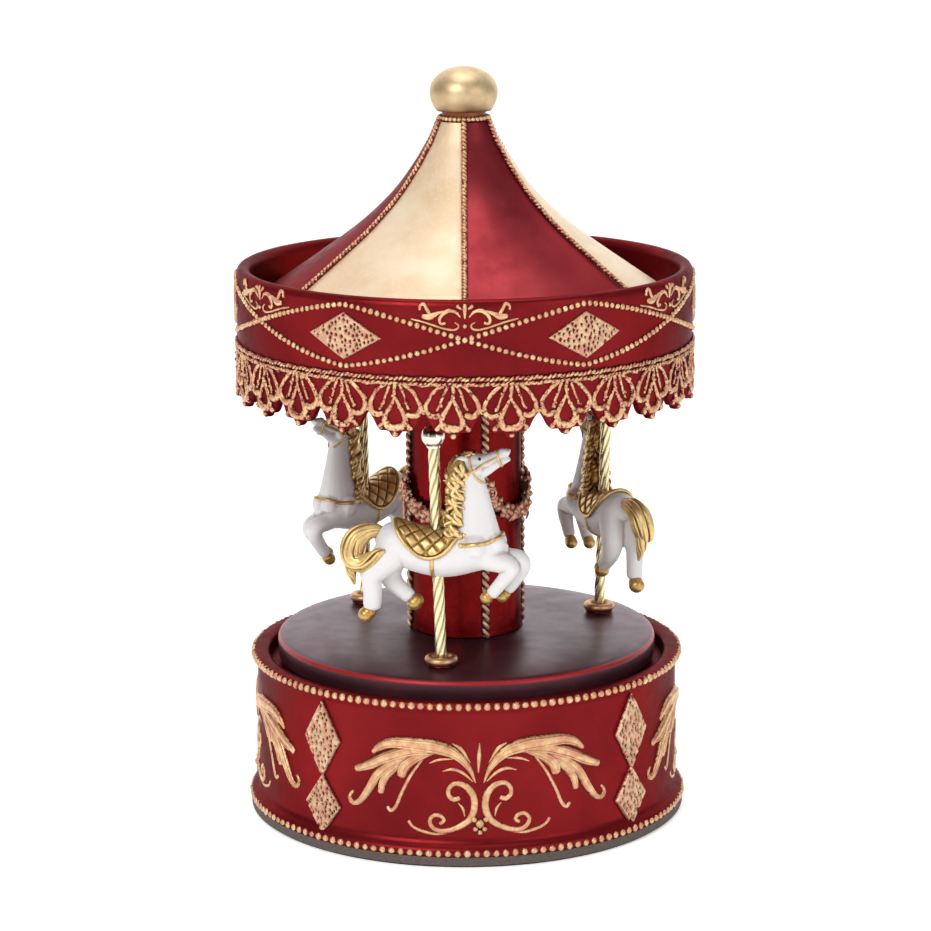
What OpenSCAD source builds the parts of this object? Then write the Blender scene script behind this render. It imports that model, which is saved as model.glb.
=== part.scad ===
// Carousel music box: a wound spring movement in a round base turns a deck that
// carries three horses, a column and a tent-shaped canopy.
// Z is up. The origin is the centre of the underside. Azimuth 0 is the front, -Y.

/* [Base] */
// Outer radius of the bottom plate
base_r = 50.1; // [49.8:0.1:50.6]
// Radius of the base wall
base_wall_r = 48.2; // [47.8:0.1:48.6]
// Height of the top of the base rim
rim_z = 37.1; // [36.8:0.1:37.6]
// Radius of the finger hole round the winding key
key_hole_r = 20; // [17:0.5:24]

/* [Carousel] */
// Radius of the deck
deck_r = 43.4; // [42.6:0.1:43.8]
// Height of the flat middle of the deck
deck_z = 41.2; // [40.8:0.1:41.6]
// Radius of the centre column
column_r = 12.9; // [11.5:0.1:13.5]
// Radius of the circle that the poles stand on
pole_circle_r = 33.7; // [32:0.1:34.5]
// Radius of a pole
pole_r = 1.25; // [1.1:0.05:1.4]
// Height of the middle of the ball on each pole
pole_ball_z = 93; // [91:0.2:94]

/* [Canopy] */
// Radius of the canopy band
band_r = 51.3; // [50.5:0.1:52]
// Height of the canopy's rim
canopy_z = 125.8; // [124:0.2:128]
// Height of the tips of the lace valance
lace_tip_z = 96; // [95:0.2:98]
// Number of scallops in the lace valance
scallops = 26; // [20:1:30]
// Widest radius of the finial
finial_r = 7.6; // [7:0.1:8]
// Height of the top of the finial
finial_top_z = 170; // [168:0.5:172]

/* [Movement] */
// Teeth on the spring barrel's crown wheel
crown_teeth = 36; // [36]
// Teeth on the cylinder's driving pinion
pinion_teeth = 12; // [12]
// Teeth on the cylinder's large gear
cylinder_teeth = 48; // [48]
// Teeth on the pinion that the large gear drives
governor_pinion_teeth = 12; // [12]
// Teeth on the worm wheel
worm_wheel_teeth = 20; // [20]
// Number of notes in the comb
notes = 18; // [12:1:18]

/* [Hidden] */
$fn = 96;
eps = 0.02;           // face-to-face clearance between fixed pieces
run = 0.05;           // radial clearance of a running fit

felt_t = 0.5;
plate_top = 2.4;      // top of the bottom plate
ceiling_z = 31.6;     // underside of the base's ceiling
ceiling_top = 34;     // top of the base's ceiling, under the deck
cavity_r = 44;        // inside of the base wall
recess_r = 45.2;      // recess in the rim that the deck turns in

spindle_r = 2;
arbor_r = 1.5;
bed_z = 11.5;         // underside of the movement's bedplate
bed_top = 13.5;
barrel_z = 14.2;      // underside of the spring barrel
barrel_top = 20.2;
barrel_r = 12.6;
crown_r = 11.6;       // mean radius of the crown teeth
crown_h = 1.0;        // height of the crown teeth
drive_r = crown_r * pinion_teeth / crown_teeth;
drum_z = barrel_top + crown_h / 2 + drive_r;   // axis of the pinned cylinder
drum_r = 5.6;
drum_x = [14.5, 31.5];
pin_h = 0.35;
comb_y = [-19, -13, -6.1];                     // heel, root and tips of the comb
note_pitch = 0.9;
gear_module = 0.26;
gear_x = 33.5;
gear_w = 1.2;
governor_gap = gear_module * (cylinder_teeth + governor_pinion_teeth) / 2;
governor_angle = -39.7;                        // from the cylinder to the worm wheel's arbor
governor_y = governor_gap * cos(governor_angle);
governor_z = drum_z + governor_gap * sin(governor_angle);
wheel_r = 3;
wheel_x = 35.6;
worm_r = 0.9;
worm_throw = 0.3;                              // how far the thread stands off its axis
worm_turns = 4;
worm_lead = 2 * PI * wheel_r / worm_wheel_teeth;
worm_x = wheel_x + gear_w / 2;
worm_y = governor_y + wheel_r + worm_r + run;
bed_posts = [[-12, -15], [-12, 15], [22, 14.5]];
bridge_posts = [[-14.2, -8.5], [-14.2, 8.5]];

pole_az = [-9.5, 110.8, 228.2];                // azimuths of the three poles
pole_in = [0, 0.4, 1.6];                       // how far each stands inside the poles' circle
pole_lean = [[0, -1.6, 0], [2, 0, 0], [0, 0, 0]];
horse_drop = [0, 2.1, 2.1];                    // how much lower each horse sits on its pole
rope_az = [20, 100, 200, 280];                 // azimuths of the column's four ropes
seam_az = [0, 60, 120, 180, 240, 300];         // azimuths of the roof's seams
column_bottom = 41.5;
collar_z = 41.4;                               // underside of the poles' collars
collar_r = 3.1;
ceiling_disc_z = [111, 115.5];
rope_r = 1.0;
lace_offset = -3;                              // azimuth of the middle of the front scallop
swag_z = 75.6;                                 // where the garland's swags are tied
swag_drop = 6;
swag_r = column_r + 1.4;                       // radius that the garland hangs at
swag_start = 8;                                // from a rope to the end of its swag
swag_steps = 14;
cord_r = 0.6;
cord_lift = 0.7;                               // from the roof to the middle of a seam cord

roof_top = [6.2, 158];
roof_bend = [[16.4, 136.7], [25.7, 134.5]];      // control points of the roof's curve
roof_foot = [47.4, 118];
roof_steps = 14;
finial_mid_z = finial_top_z - 5.5;
tie_r = 1.95;

// Turns its children to an azimuth measured from the front, anticlockwise from above.
module at_azimuth(az, r = 0) rotate([0, 0, az]) translate([0, -r, 0]) children();

// Point on a cylinder at an azimuth, radius and height.
function on_cylinder(az, r, z) = [r * sin(az), -r * cos(az), z];

// Cubic curve with two control points.
function bezier(a, b, c, d, t) =
  pow(1 - t, 3) * a + 3 * t * pow(1 - t, 2) * b + 3 * t * t * (1 - t) * c + pow(t, 3) * d;

// A round rod between two heights.
module rod(r, z0, z1) translate([0, 0, z0]) cylinder(r = r, h = z1 - z0);

// A ring with a rectangular section.
module ring(r_in, r_out, z0, z1) difference() {
  rod(r_out, z0, z1);
  rod(r_in, z0 - 1, z1 + 1);
}

// Tube swept along points: sides is the number of facets round it, ref a vector off the path.
module swept_tube(path, r, sides, ref) {
  n = len(path);
  tangents = [for (i = [0 : n - 1]) let (t = path[min(i + 1, n - 1)] - path[max(i - 1, 0)]) t / norm(t)];
  rings = [for (i = [0 : n - 1])
    let (u = cross(tangents[i], ref[i]), a = u / norm(u), b = cross(tangents[i], a))
    for (k = [0 : sides - 1]) path[i] + r * (cos(360 * k / sides) * a + sin(360 * k / sides) * b)];
  walls = [for (i = [0 : n - 2]) for (k = [0 : sides - 1])
    let (j = (k + 1) % sides) [i * sides + k, i * sides + j, (i + 1) * sides + j, (i + 1) * sides + k]];
  start = [[for (k = [0 : sides - 1]) sides - 1 - k]];
  end = [[for (k = [0 : sides - 1]) (n - 1) * sides + k]];
  polyhedron(points = rings, faces = concat(start, walls, end), convexity = 4);
}

// Spur gear outline with plain tapered teeth and generous backlash, one tooth on +X.
module gear_outline(teeth, pitch_r, add, ded) {
  pitch = 360 / teeth;
  polygon([for (i = [0 : teeth - 1]) each [
    for (corner = [[-0.24, -ded], [-0.1, add], [0.1, add], [0.24, -ded]])
      let (a = (i + corner[0]) * pitch, rr = pitch_r + corner[1]) [rr * cos(a), rr * sin(a)]
  ]]);
}

// Turns a shape drawn round Z so that its axis lies along X, starting at x.
module along_x(x, y = 0, z = 0) translate([x, y, z]) rotate([90, 0, 90]) children();

// ---- Base -------------------------------------------------------------

module felt_pad() color("dimgray") ring(key_hole_r + 2, base_r - 0.7, 0, felt_t);

module bottom_plate() color("rosybrown") difference() {
  ring(key_hole_r, base_r, felt_t, plate_top);
  for (az = [30, 150, 270]) at_azimuth(az, 42) rod(1.1, 0, plate_top + 1);
}

module plate_screws() color("silver")
  for (az = [30, 150, 270]) at_azimuth(az, 42) {
    rod(1.0, felt_t + 0.1, 9);
    rod(1.09, felt_t + 0.1, felt_t + 0.9);
  }

module base_shell() color("firebrick") {
  difference() {
    rotate_extrude() polygon([
      [0, ceiling_z], [cavity_r, ceiling_z], [cavity_r, plate_top + eps], [base_r - 0.1, plate_top + eps],
      [base_r - 0.1, 4.2], [base_r - 0.8, 4.6], [base_wall_r + 0.3, 6.5], [base_wall_r, 9],
      [base_wall_r, rim_z - 2.2], [base_wall_r + 0.9, rim_z - 1.6], [base_wall_r + 0.9, rim_z - 0.4],
      [base_wall_r + 0.4, rim_z], [recess_r, rim_z], [recess_r, ceiling_top], [0, ceiling_top]
    ]);
    rod(4 + eps, ceiling_z - 1, ceiling_top + 1);
  }
  // Bosses under the ceiling that the movement hangs from.
  for (p = bed_posts) translate([p.x, p.y, 0]) ring(1.05, 2.8, bed_top + eps, ceiling_z + 0.5);
  // Lugs inside the wall for the plate's screws.
  for (az = [30, 150, 270]) at_azimuth(az, 42) difference() {
    translate([-3, -2.6, plate_top + eps]) cube([6, 5.2, 8]);
    rod(1.02, 0, 9.2);
  }
}

module spindle_bush() color("goldenrod") difference() {
  union() {
    rod(4, ceiling_z - 0.4, ceiling_top + eps);
    rod(6, ceiling_top + eps, ceiling_top + 0.6);
  }
  rod(spindle_r + run, ceiling_z - 2, ceiling_top + 2);
}

module thrust_washer() color("whitesmoke") ring(spindle_r + 0.1, 6, ceiling_top + 0.62, ceiling_top + 1.05);

// ---- Movement ---------------------------------------------------------

module movement_bedplate() color("darkgray") {
  difference() {
    intersection() {
      translate([-17, -20, bed_z]) cube([58, 38.5, bed_top - bed_z]);
      rod(41.6, bed_z - 1, bed_top + 1);
    }
    rod(arbor_r + run, bed_z - 1, bed_top + 1);
    for (p = bed_posts) translate([p.x, p.y, 0]) rod(1.1, bed_z - 1, bed_top + 1);
  }
  // Seat that the comb is screwed to.
  difference() {
    translate([drum_x[0], comb_y[0], bed_top - 0.5])
      cube([17, comb_y[1] - comb_y[0] - 0.6, drum_z - 0.4 - bed_top + 0.5]);
    for (x = [18, 28]) translate([x, -16.2, 0]) rod(0.82, bed_top + 3, 30);
  }
  for (p = bridge_posts) translate([p.x, p.y, 0]) ring(0.85, 2, bed_top - 0.5, 28.6);
}

module bedplate_screws() color("silver")
  for (p = bed_posts) translate([p.x, p.y, 0]) {
    rod(1.0, bed_z - 0.1, bed_top + 7);
    rod(2.2, bed_z - 1.3, bed_z - eps);
  }

module spring_barrel() color("burlywood") {
  difference() {
    rod(barrel_r, barrel_z, barrel_top);
    rod(barrel_r - 1.2, barrel_z + 1, barrel_top - 1);
    rod(arbor_r + run, barrel_z - 1, barrel_z + 2);
  }
  for (i = [0 : crown_teeth - 1]) rotate([0, 0, i * 360 / crown_teeth])
    translate([crown_r - 1, 0, barrel_top - 0.1]) rotate([90, 0, 90])
      linear_extrude(height = 2) polygon([[-0.36, 0], [0.36, 0], [0.2, crown_h], [-0.2, crown_h]]);
}

module output_spindle() color("silver") rod(spindle_r, barrel_top + eps, 38.3);

// Coiled spring strip inside the barrel.
module mainspring() color("slategray") {
  turns = 5;
  strip = 0.45;
  steps = 24 * turns;
  inner = [for (i = [0 : steps]) let (a = 360 * turns * i / steps, r = 2.4 + 8.2 * i / steps)
    [r * cos(a), r * sin(a)]];
  outer = [for (i = [steps : -1 : 0]) let (a = 360 * turns * i / steps, r = 2.4 + strip + 8.2 * i / steps)
    [r * cos(a), r * sin(a)]];
  translate([0, 0, barrel_z + 1.2]) linear_extrude(height = barrel_top - barrel_z - 2.4)
    polygon(concat(inner, outer));
}

module winding_arbor() color("silver") {
  rod(arbor_r, 4.5, barrel_top - 1.2);
  rod(2.1, bed_z - 0.6, bed_z - 0.1);
}

module winding_key() color("goldenrod") difference() {
  union() {
    rod(2.9, 3.4, 10.6);
    for (side = [0, 180])
      rotate([0, 0, side]) translate([0, 0.9, 0]) rotate([90, 0, 0]) linear_extrude(height = 1.8)
      polygon([[2, 9.4], [6, 8.6], [11.4, 8.6], [12.8, 7.4], [12.8, 3.6], [11.4, 2.4], [6, 2.4], [2, 4.2]]);
  }
  rod(arbor_r + eps, 4.4, 12);
  for (x = [-8.8, 8.8]) translate([x, 2, 5.5]) rotate([90, 0, 0]) cylinder(r = 1.7, h = 4);
}

module top_bridge() color("darkgray") difference() {
  union() {
    translate([0, 0, 28.6 + eps]) linear_extrude(height = 1.6)
      polygon([[-16.6, -10.6], [-12, -10.6], [4, -5], [9, -3], [9, 3], [4, 5], [-12, 10.6], [-16.6, 10.6]]);
    translate([7.4, -2, drum_z - 2]) cube([1.6, 4, 28.6 - drum_z + 2.4]);
  }
  rod(spindle_r + run, 20, 32);
  along_x(6, 0, drum_z) cylinder(r = 0.8 + run, h = 4);
  for (p = bridge_posts) translate([p.x, p.y, 0]) rod(0.9, 20, 32);
}

module bridge_screws() color("silver")
  for (p = bridge_posts) translate([p.x, p.y, 0]) {
    rod(0.8, 24, 30.3);
    rod(1.6, 30.2 + 2 * eps, 31.1);
  }

module pinned_cylinder() color("goldenrod") {
  along_x(drum_x[0], 0, drum_z) difference() {
    cylinder(r = drum_r, h = drum_x[1] - drum_x[0]);
    translate([0, 0, -1]) cylinder(r = 0.8 + eps, h = 30);
  }
  for (i = [0 : notes - 1]) for (k = [0 : 2])
    along_x(15.35 + i * note_pitch, 0, drum_z) rotate([0, 0, 97 * i + 131 * k + 20])
      translate([drum_r - 0.2, 0, 0]) rotate([0, 90, 0]) cylinder(r = 0.16, h = pin_h + 0.2, $fn = 16);
}

// Arbor of the cylinder with the pinion that the crown wheel drives.
module cylinder_pinion() color("silver") {
  along_x(7, 0, drum_z) cylinder(r = 0.8, h = 31.6);
  along_x(crown_r - 0.7, 0, drum_z) rotate([0, 0, -90 + 180 / pinion_teeth])
    linear_extrude(height = 1.4) gear_outline(pinion_teeth, drive_r, 0.42, 0.6);
}

module cylinder_gear() color("goldenrod") along_x(gear_x, 0, drum_z) difference() {
  rotate([0, 0, governor_angle]) linear_extrude(height = gear_w)
    gear_outline(cylinder_teeth, gear_module * cylinder_teeth / 2, 0.2, 0.26);
  translate([0, 0, -1]) cylinder(r = 0.8 + eps, h = 4);
}

module music_comb() color("lightsteelblue") difference() {
  union() {
    translate([drum_x[0], comb_y[0], drum_z - 0.35]) cube([17, comb_y[1] - comb_y[0], 0.7]);
    for (i = [0 : notes - 1]) translate([15.35 + i * note_pitch - 0.3, comb_y[1] - 0.5, drum_z - 0.35])
      cube([0.6, comb_y[2] - comb_y[1] + 0.5, 0.5]);
  }
  for (x = [18, 28]) translate([x, -16.2, 0]) rod(0.9, 20, 30);
}

module comb_screws() color("silver") for (x = [18, 28]) translate([x, -16.2, 0]) {
  rod(0.8, bed_top + 4, drum_z + 0.5);
  rod(1.7, drum_z + 0.35 + eps, drum_z + 1.3);
}

module governor_frame() color("darkgray") difference() {
  union() {
    translate([32, -4, bed_top + eps]) cube([1, 16, 31 - bed_top]);
    translate([38.2, -4, bed_top + eps]) cube([1, 15, 26.4 - bed_top]);
    translate([32, -4, bed_top + eps]) cube([7.2, 15, 0.8]);
    translate([32, worm_y - 1.4, 30]) cube([worm_x - 31 + 1, 2.8, 1]);
  }
  along_x(31, 0, drum_z) cylinder(r = 0.8 + run, h = 10);
  along_x(31, governor_y, governor_z) cylinder(r = 0.5 + run, h = 10);
  translate([worm_x, worm_y, 0]) rod(0.4 + run, 13, 32);
  translate([33.4, worm_y - 3.4, 24]) cube([5.4, 6.8, 5.6]);
}

// Worm wheel and its pinion on one arbor.
module governor_wheel() color("goldenrod") {
  along_x(31.6, governor_y, governor_z) cylinder(r = 0.5, h = 7.2);
  along_x(gear_x, governor_y, governor_z) rotate([0, 0, governor_angle + 180 + 180 / governor_pinion_teeth])
    linear_extrude(height = gear_w)
      gear_outline(governor_pinion_teeth, gear_module * governor_pinion_teeth / 2, 0.2, 0.26);
  along_x(wheel_x, governor_y, governor_z)
    linear_extrude(height = gear_w) gear_outline(worm_wheel_teeth, wheel_r, 0.18, 0.45);
}

// Endless screw: a twisted off-centre rod on the fly's shaft.
module governor_worm() color("silver") translate([worm_x, worm_y, 0]) {
  rod(0.4, bed_top + 0.5, 30.6);
  translate([0, 0, governor_z - worm_turns / 2 * worm_lead])
    linear_extrude(height = worm_turns * worm_lead, twist = worm_turns * 360, slices = worm_turns * 16)
      translate([0, worm_throw]) circle(r = worm_r, $fn = 16);
}

module air_brake_fly() color("dimgray") translate([worm_x, worm_y, 0]) difference() {
  union() {
    rod(0.9, 24.4, 29.2);
    translate([-2.4, -0.2, 24.4]) cube([4.8, 0.4, 4.8]);
  }
  rod(0.4 + eps, 24, 30);
}

// ---- Deck and its fittings --------------------------------------------

module deck() color("saddlebrown") difference() {
  union() {
    rotate_extrude() polygon([
      [0, ceiling_top + 1.2], [deck_r - 0.6, ceiling_top + 1.2], [deck_r - 0.1, ceiling_top + 1.6],
      [deck_r, deck_z - 1.5], [deck_r - 0.4, deck_z - 0.9], [deck_r - 6.9, deck_z],
      [14, deck_z], [13.4, column_bottom], [0, column_bottom]
    ]);
    for (i = [0 : 2]) at_azimuth(pole_az[i], pole_circle_r - pole_in[i]) rod(collar_r, deck_z - 1, collar_z);
  }
  rod(4 + eps, 30, 50);
  rod(6.5 + eps, 30, 36.1 + eps);
  for (i = [0 : 2]) at_pole(i) rod(pole_r + eps, 36.8, 50);
}

module deck_hub() color("goldenrod") difference() {
  union() {
    rod(6.5, ceiling_top + 1.1, 36.1);
    rod(4, ceiling_top + 1.1, column_bottom);
  }
  rod(spindle_r + eps, 30, 38.4);
  rod(tie_r + eps, 38.7, 50);
}

module tie_rod() color("silver") rod(tie_r, 38.75, 165);

// Puts its children round a pole: they stand on the Z axis and lean about the collar's underside.
module at_pole(i) at_azimuth(pole_az[i], pole_circle_r - pole_in[i])
  translate([0, 0, collar_z]) rotate(pole_lean[i]) translate([0, 0, -collar_z]) children();

module pole_collar(i) color("burlywood") difference() {
  at_azimuth(pole_az[i], pole_circle_r - pole_in[i]) rotate_extrude() translate([0, collar_z + eps]) {
    square([collar_r, 1.1]);
    translate([collar_r - 0.4, 1.25]) circle(r = 0.95, $fn = 48);
  }
  at_pole(i) rod(pole_r + eps, collar_z - 1, collar_z + 4);
}

module pole(i) color("gold") at_pole(i) rod(pole_r, 36.9, pole_ball_z - 2.2);

module pole_ball(i) color("ivory") at_pole(i) difference() {
  translate([0, 0, pole_ball_z]) sphere(r = 2.6);
  rod(pole_r + eps, 80, pole_ball_z - 2.2 + eps);
}

// ---- Horses -----------------------------------------------------------

// Chain of hulled balls: each entry is [x, y, z, radius].
module limb(balls) for (i = [0 : len(balls) - 2]) hull() for (b = [balls[i], balls[i + 1]])
  translate([b[0], b[1], b[2]]) sphere(r = b[3], $fn = 12);

// A leaping horse heading +X round the pole at the origin, at its real height.
module horse_shape() difference() {
  union() {
    limb([[-10.2, 0, 69.5, 4.4], [-5, 0, 67.9, 4.7], [1.4, 0, 66.5, 4.9], [7.6, 0, 67.4, 4.8],
          [11.2, 0, 68, 4.1]]);
    limb([[9.4, 0, 69.6, 4.6], [8.7, 0, 74.8, 3.9], [8.3, 0, 80, 3.1], [8.4, 0, 85.8, 2.6],
          [11.6, 0, 86.9, 1.8], [16.3, 0, 89, 1.1]]);
    limb([[8.6, 0, 87.2, 1.9], [6.4, 0, 88.2, 0.9]]);
    limb([[9.8, -1.6, 67, 3.2], [16.3, -1.7, 64.6, 2], [12.9, -1.7, 58.8, 1.5], [11, -1.7, 57.3, 1.45]]);
    limb([[10.4, 1.6, 67.4, 3.2], [18.4, 1.7, 65.1, 1.95], [15.4, 1.7, 58.8, 1.5], [13.6, 1.7, 56.6, 1.5]]);
    limb([[-8.6, -1.6, 69, 3.9], [-13, -2.1, 63.7, 3], [-14.4, -2.2, 60.4, 2.2], [-14.6, -2.2, 55.8, 2],
          [-16, -2.2, 53.3, 1.8]]);
    limb([[-8.6, 1.6, 68.6, 3.9], [-10.8, 2.2, 61.6, 2.6], [-7.4, 2.2, 56.8, 1.75], [-5.9, 2.2, 54.8, 1.75]]);
    limb([[-12.2, 0, 71.2, 1.4], [-15.8, -0.8, 71.6, 2.1], [-18.6, -1.8, 68.2, 2.8], [-17.4, -2.8, 65.4, 2],
          [-14, -4, 66.4, 1.5], [-11, -4.6, 68.2, 0.7]]);
    limb([[-18.8, -1.8, 66.8, 1.6], [-18.6, -1.4, 60.3, 0.6]]);
    limb([[5.6, 0, 87, 1.8], [5.2, 0, 80, 2.2], [4.4, 0, 75, 2.4], [5.6, 0, 71.6, 2]]);
    // Saddle cloth over the back.
    hull() for (x = [-5.6, 2.2])
      translate([x, 0, 70.2]) rotate([90, 0, 0]) cylinder(r = 3.5, h = 10.6, center = true, $fn = 20);
  }
  rod(pole_r + 0.1, 40, 100);
}

module horse(i) color("white") at_pole(i) translate([0, 0, -horse_drop[i]]) horse_shape();

// ---- Column -----------------------------------------------------------

module column() color("darkred") difference() {
  ring(tie_r + 1, column_r, column_bottom + eps, ceiling_disc_z[0] - eps);
  for (az = rope_az) at_azimuth(az, column_r) rod(rope_r + eps, column_bottom, ceiling_disc_z[0]);
}

module column_ropes() color("burlywood")
  for (az = rope_az) at_azimuth(az, column_r) rod(rope_r, column_bottom + 0.1, ceiling_disc_z[0] - 0.1);

// Four swags of flowers hung between the ropes: azimuth at a fraction of one swag.
function swag_az(k, f) = let (next = rope_az[(k + 1) % len(rope_az)] + (k + 1 == len(rope_az) ? 360 : 0))
  rope_az[k] + swag_start + f * (next - rope_az[k] - 2 * swag_start);

module column_garland() color("burlywood") for (k = [0 : len(rope_az) - 1]) swept_tube(
  [for (i = [0 : swag_steps]) let (f = i / swag_steps)
    on_cylinder(swag_az(k, f), swag_r, swag_z - swag_drop * 4 * f * (1 - f))],
  1.3, 8,
  [for (i = [0 : swag_steps]) on_cylinder(swag_az(k, i / swag_steps), 1, 0)]);

// ---- Canopy -----------------------------------------------------------

module canopy_ceiling() color("darkred") difference() {
  rod(band_r - 3.2, ceiling_disc_z[0], ceiling_disc_z[1]);
  rod(2.2, 100, 120);
}

module canopy_band() color("firebrick") difference() {
  rotate_extrude() polygon([
    [band_r - 3.1, lace_tip_z + 0.6], [band_r - 2.6, lace_tip_z], [band_r + 0.5, lace_tip_z],
    [band_r + 0.9, 108.4], [band_r + 0.5, 109.6], [band_r, 110], [band_r, canopy_z - 4],
    [band_r + 0.2, canopy_z - 0.8],
    [band_r - 0.7, canopy_z], [band_r - 2.5, canopy_z], [band_r - 3.1, canopy_z - 0.6]
  ]);
  for (i = [0 : scallops - 1]) at_azimuth(lace_offset + (i + 0.5) * 360 / scallops, band_r - 6)
    translate([0, 0, lace_tip_z - 2.8]) rotate([90, 0, 0]) cylinder(r = 5.2, h = 12, $fn = 40);
}

function roof_point(t) = bezier(roof_top, roof_bend[0], roof_bend[1], roof_foot, t);

module roof_cone() color("wheat") difference() {
  rotate_extrude() polygon(concat(
    [for (i = [roof_steps : -1 : 0]) roof_point(i / roof_steps)],
    [[0, roof_top.y], [0, roof_top.y - 3]],
    [for (i = [1 : roof_steps]) roof_point(i / roof_steps) - [2, 2.4]]
  ));
  rod(2.2, 100, 170);
}

// Middle of a seam cord, lifted square off the roof.
function cord_point(t) = let (d = roof_point(t + 0.01) - roof_point(t - 0.01))
  roof_point(t) + cord_lift * [-d.y, d.x] / norm(d);

module roof_seam_cords() color("burlywood") for (az = seam_az) swept_tube(
  [for (i = [0 : roof_steps]) let (p = cord_point(i / roof_steps * 0.985)) on_cylinder(az, p.x, p.y)],
  cord_r, 6,
  [for (i = [0 : roof_steps]) on_cylinder(az + 90, 1, 0)]);

module roof_bead_ring() color("burlywood") rotate_extrude()
  translate([roof_top.x - 0.65, roof_top.y + 0.6 + eps]) circle(r = 0.6, $fn = 32);

module finial_ball() color("gold") difference() {
  rotate_extrude() polygon(concat(
    [[0, roof_top.y + eps], [4.9, roof_top.y + eps], [4.9, finial_top_z - 9.8]],
    [for (a = [-36 : 6 : 84])
      [finial_r * cos(a), finial_mid_z + (a > 0 ? finial_top_z - finial_mid_z : 7.3) * sin(a)]],
    [[0, finial_top_z]]
  ));
  rod(tie_r + eps, 150, 165.2);
}

felt_pad();
bottom_plate();
plate_screws();
base_shell();
spindle_bush();
thrust_washer();
movement_bedplate();
bedplate_screws();
spring_barrel();
output_spindle();
mainspring();
winding_arbor();
winding_key();
top_bridge();
bridge_screws();
pinned_cylinder();
cylinder_pinion();
cylinder_gear();
music_comb();
comb_screws();
governor_frame();
governor_wheel();
governor_worm();
air_brake_fly();
deck();
deck_hub();
tie_rod();
pole_collar(0);  // pole_collar_1
pole_collar(1);  // pole_collar_2
pole_collar(2);  // pole_collar_3
pole(0);  // pole_1
pole(1);  // pole_2
pole(2);  // pole_3
pole_ball(0);  // pole_ball_1
pole_ball(1);  // pole_ball_2
pole_ball(2);  // pole_ball_3
horse(0);  // horse_1
horse(1);  // horse_2
horse(2);  // horse_3
column();
column_ropes();
column_garland();
canopy_ceiling();
canopy_band();
roof_cone();
roof_seam_cords();
roof_bead_ring();
finial_ball();
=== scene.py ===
"""Carousel music box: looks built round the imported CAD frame.

Lengths are in millimetres until a mesh is made.
"""

import math
import random

import bpy
import numpy as np
from mathutils import Matrix, Vector
from mathutils.bvhtree import BVHTree


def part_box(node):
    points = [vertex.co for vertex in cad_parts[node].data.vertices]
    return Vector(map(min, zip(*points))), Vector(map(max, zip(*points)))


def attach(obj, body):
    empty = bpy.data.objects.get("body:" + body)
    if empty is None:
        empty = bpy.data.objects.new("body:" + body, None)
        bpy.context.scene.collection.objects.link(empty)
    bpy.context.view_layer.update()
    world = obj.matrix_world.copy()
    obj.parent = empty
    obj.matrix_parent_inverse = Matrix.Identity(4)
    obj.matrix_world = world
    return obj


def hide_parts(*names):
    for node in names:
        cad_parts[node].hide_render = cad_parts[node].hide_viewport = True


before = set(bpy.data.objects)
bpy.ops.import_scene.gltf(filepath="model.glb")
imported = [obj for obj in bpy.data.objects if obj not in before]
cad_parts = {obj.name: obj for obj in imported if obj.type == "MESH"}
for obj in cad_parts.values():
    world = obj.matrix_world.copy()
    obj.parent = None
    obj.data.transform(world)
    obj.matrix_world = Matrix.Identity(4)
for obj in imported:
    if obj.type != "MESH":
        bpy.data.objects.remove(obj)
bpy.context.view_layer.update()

MM = 0.001
FRONT_VIEW = dict(distance=715.5, height=238.3, pitch=77.45, roll=-0.28, lens=124.1)

# ---------------------------------------------------------------- sizes from the frame


def box_mm(node):
    lo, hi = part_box(node)
    return np.array(lo) / MM, np.array(hi) / MM


def radius_of(node):
    return box_mm(node)[1][0]


BASE_R = radius_of("bottom_plate")
PLATE_TOP = box_mm("bottom_plate")[1][2]
RIM_Z = box_mm("base_shell")[1][2]
WALL_R = BASE_R - 1.9
DECK_R = radius_of("deck")
DECK_Z = 41.2
COLUMN_R = radius_of("column")
COLUMN_Z = (box_mm("column")[0][2], box_mm("column")[1][2])
BAND_R = radius_of("canopy_band") - 0.9
LACE_Z, CANOPY_Z = box_mm("canopy_band")[0][2], box_mm("canopy_band")[1][2]
FINIAL_R = radius_of("finial_ball")
TOP_Z = box_mm("finial_ball")[1][2]
ROOF_TOP_Z = box_mm("roof_cone")[1][2]
# azimuth, radius, the axis and angle of its lean, how far the horse sits below the first one
POLES = [(-9.5, 33.7, ("Y", -1.6), 0), (110.8, 33.3, ("X", 2), 2.1), (228.2, 32.1, ("X", 0), 2.1)]
FOOT_Z = 41.4
ROPE_AZ = [20, 100, 200, 280]
SEAM_AZ = [0, 60, 120, 180, 240, 300]
SCALLOPS = 26
LACE_OFFSET = -3
BEADS_ROUND_BASE = 148
WAVE_Z, WAVE_RISE = 117.45, 6.65
GARLAND_Z, GARLAND_SAG = 75.2, 21.6
SKIRT_TOP_Z = 109.2

# ---------------------------------------------------------------- mesh helpers


def polar(az, r, z=0.0):
    a = np.radians(az)
    return np.stack(np.broadcast_arrays(r * np.sin(a), -r * np.cos(a), z), axis=-1)


def unit(v):
    v = np.asarray(v, float)
    return v / np.maximum(np.linalg.norm(v, axis=-1, keepdims=True), 1e-9)


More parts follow.
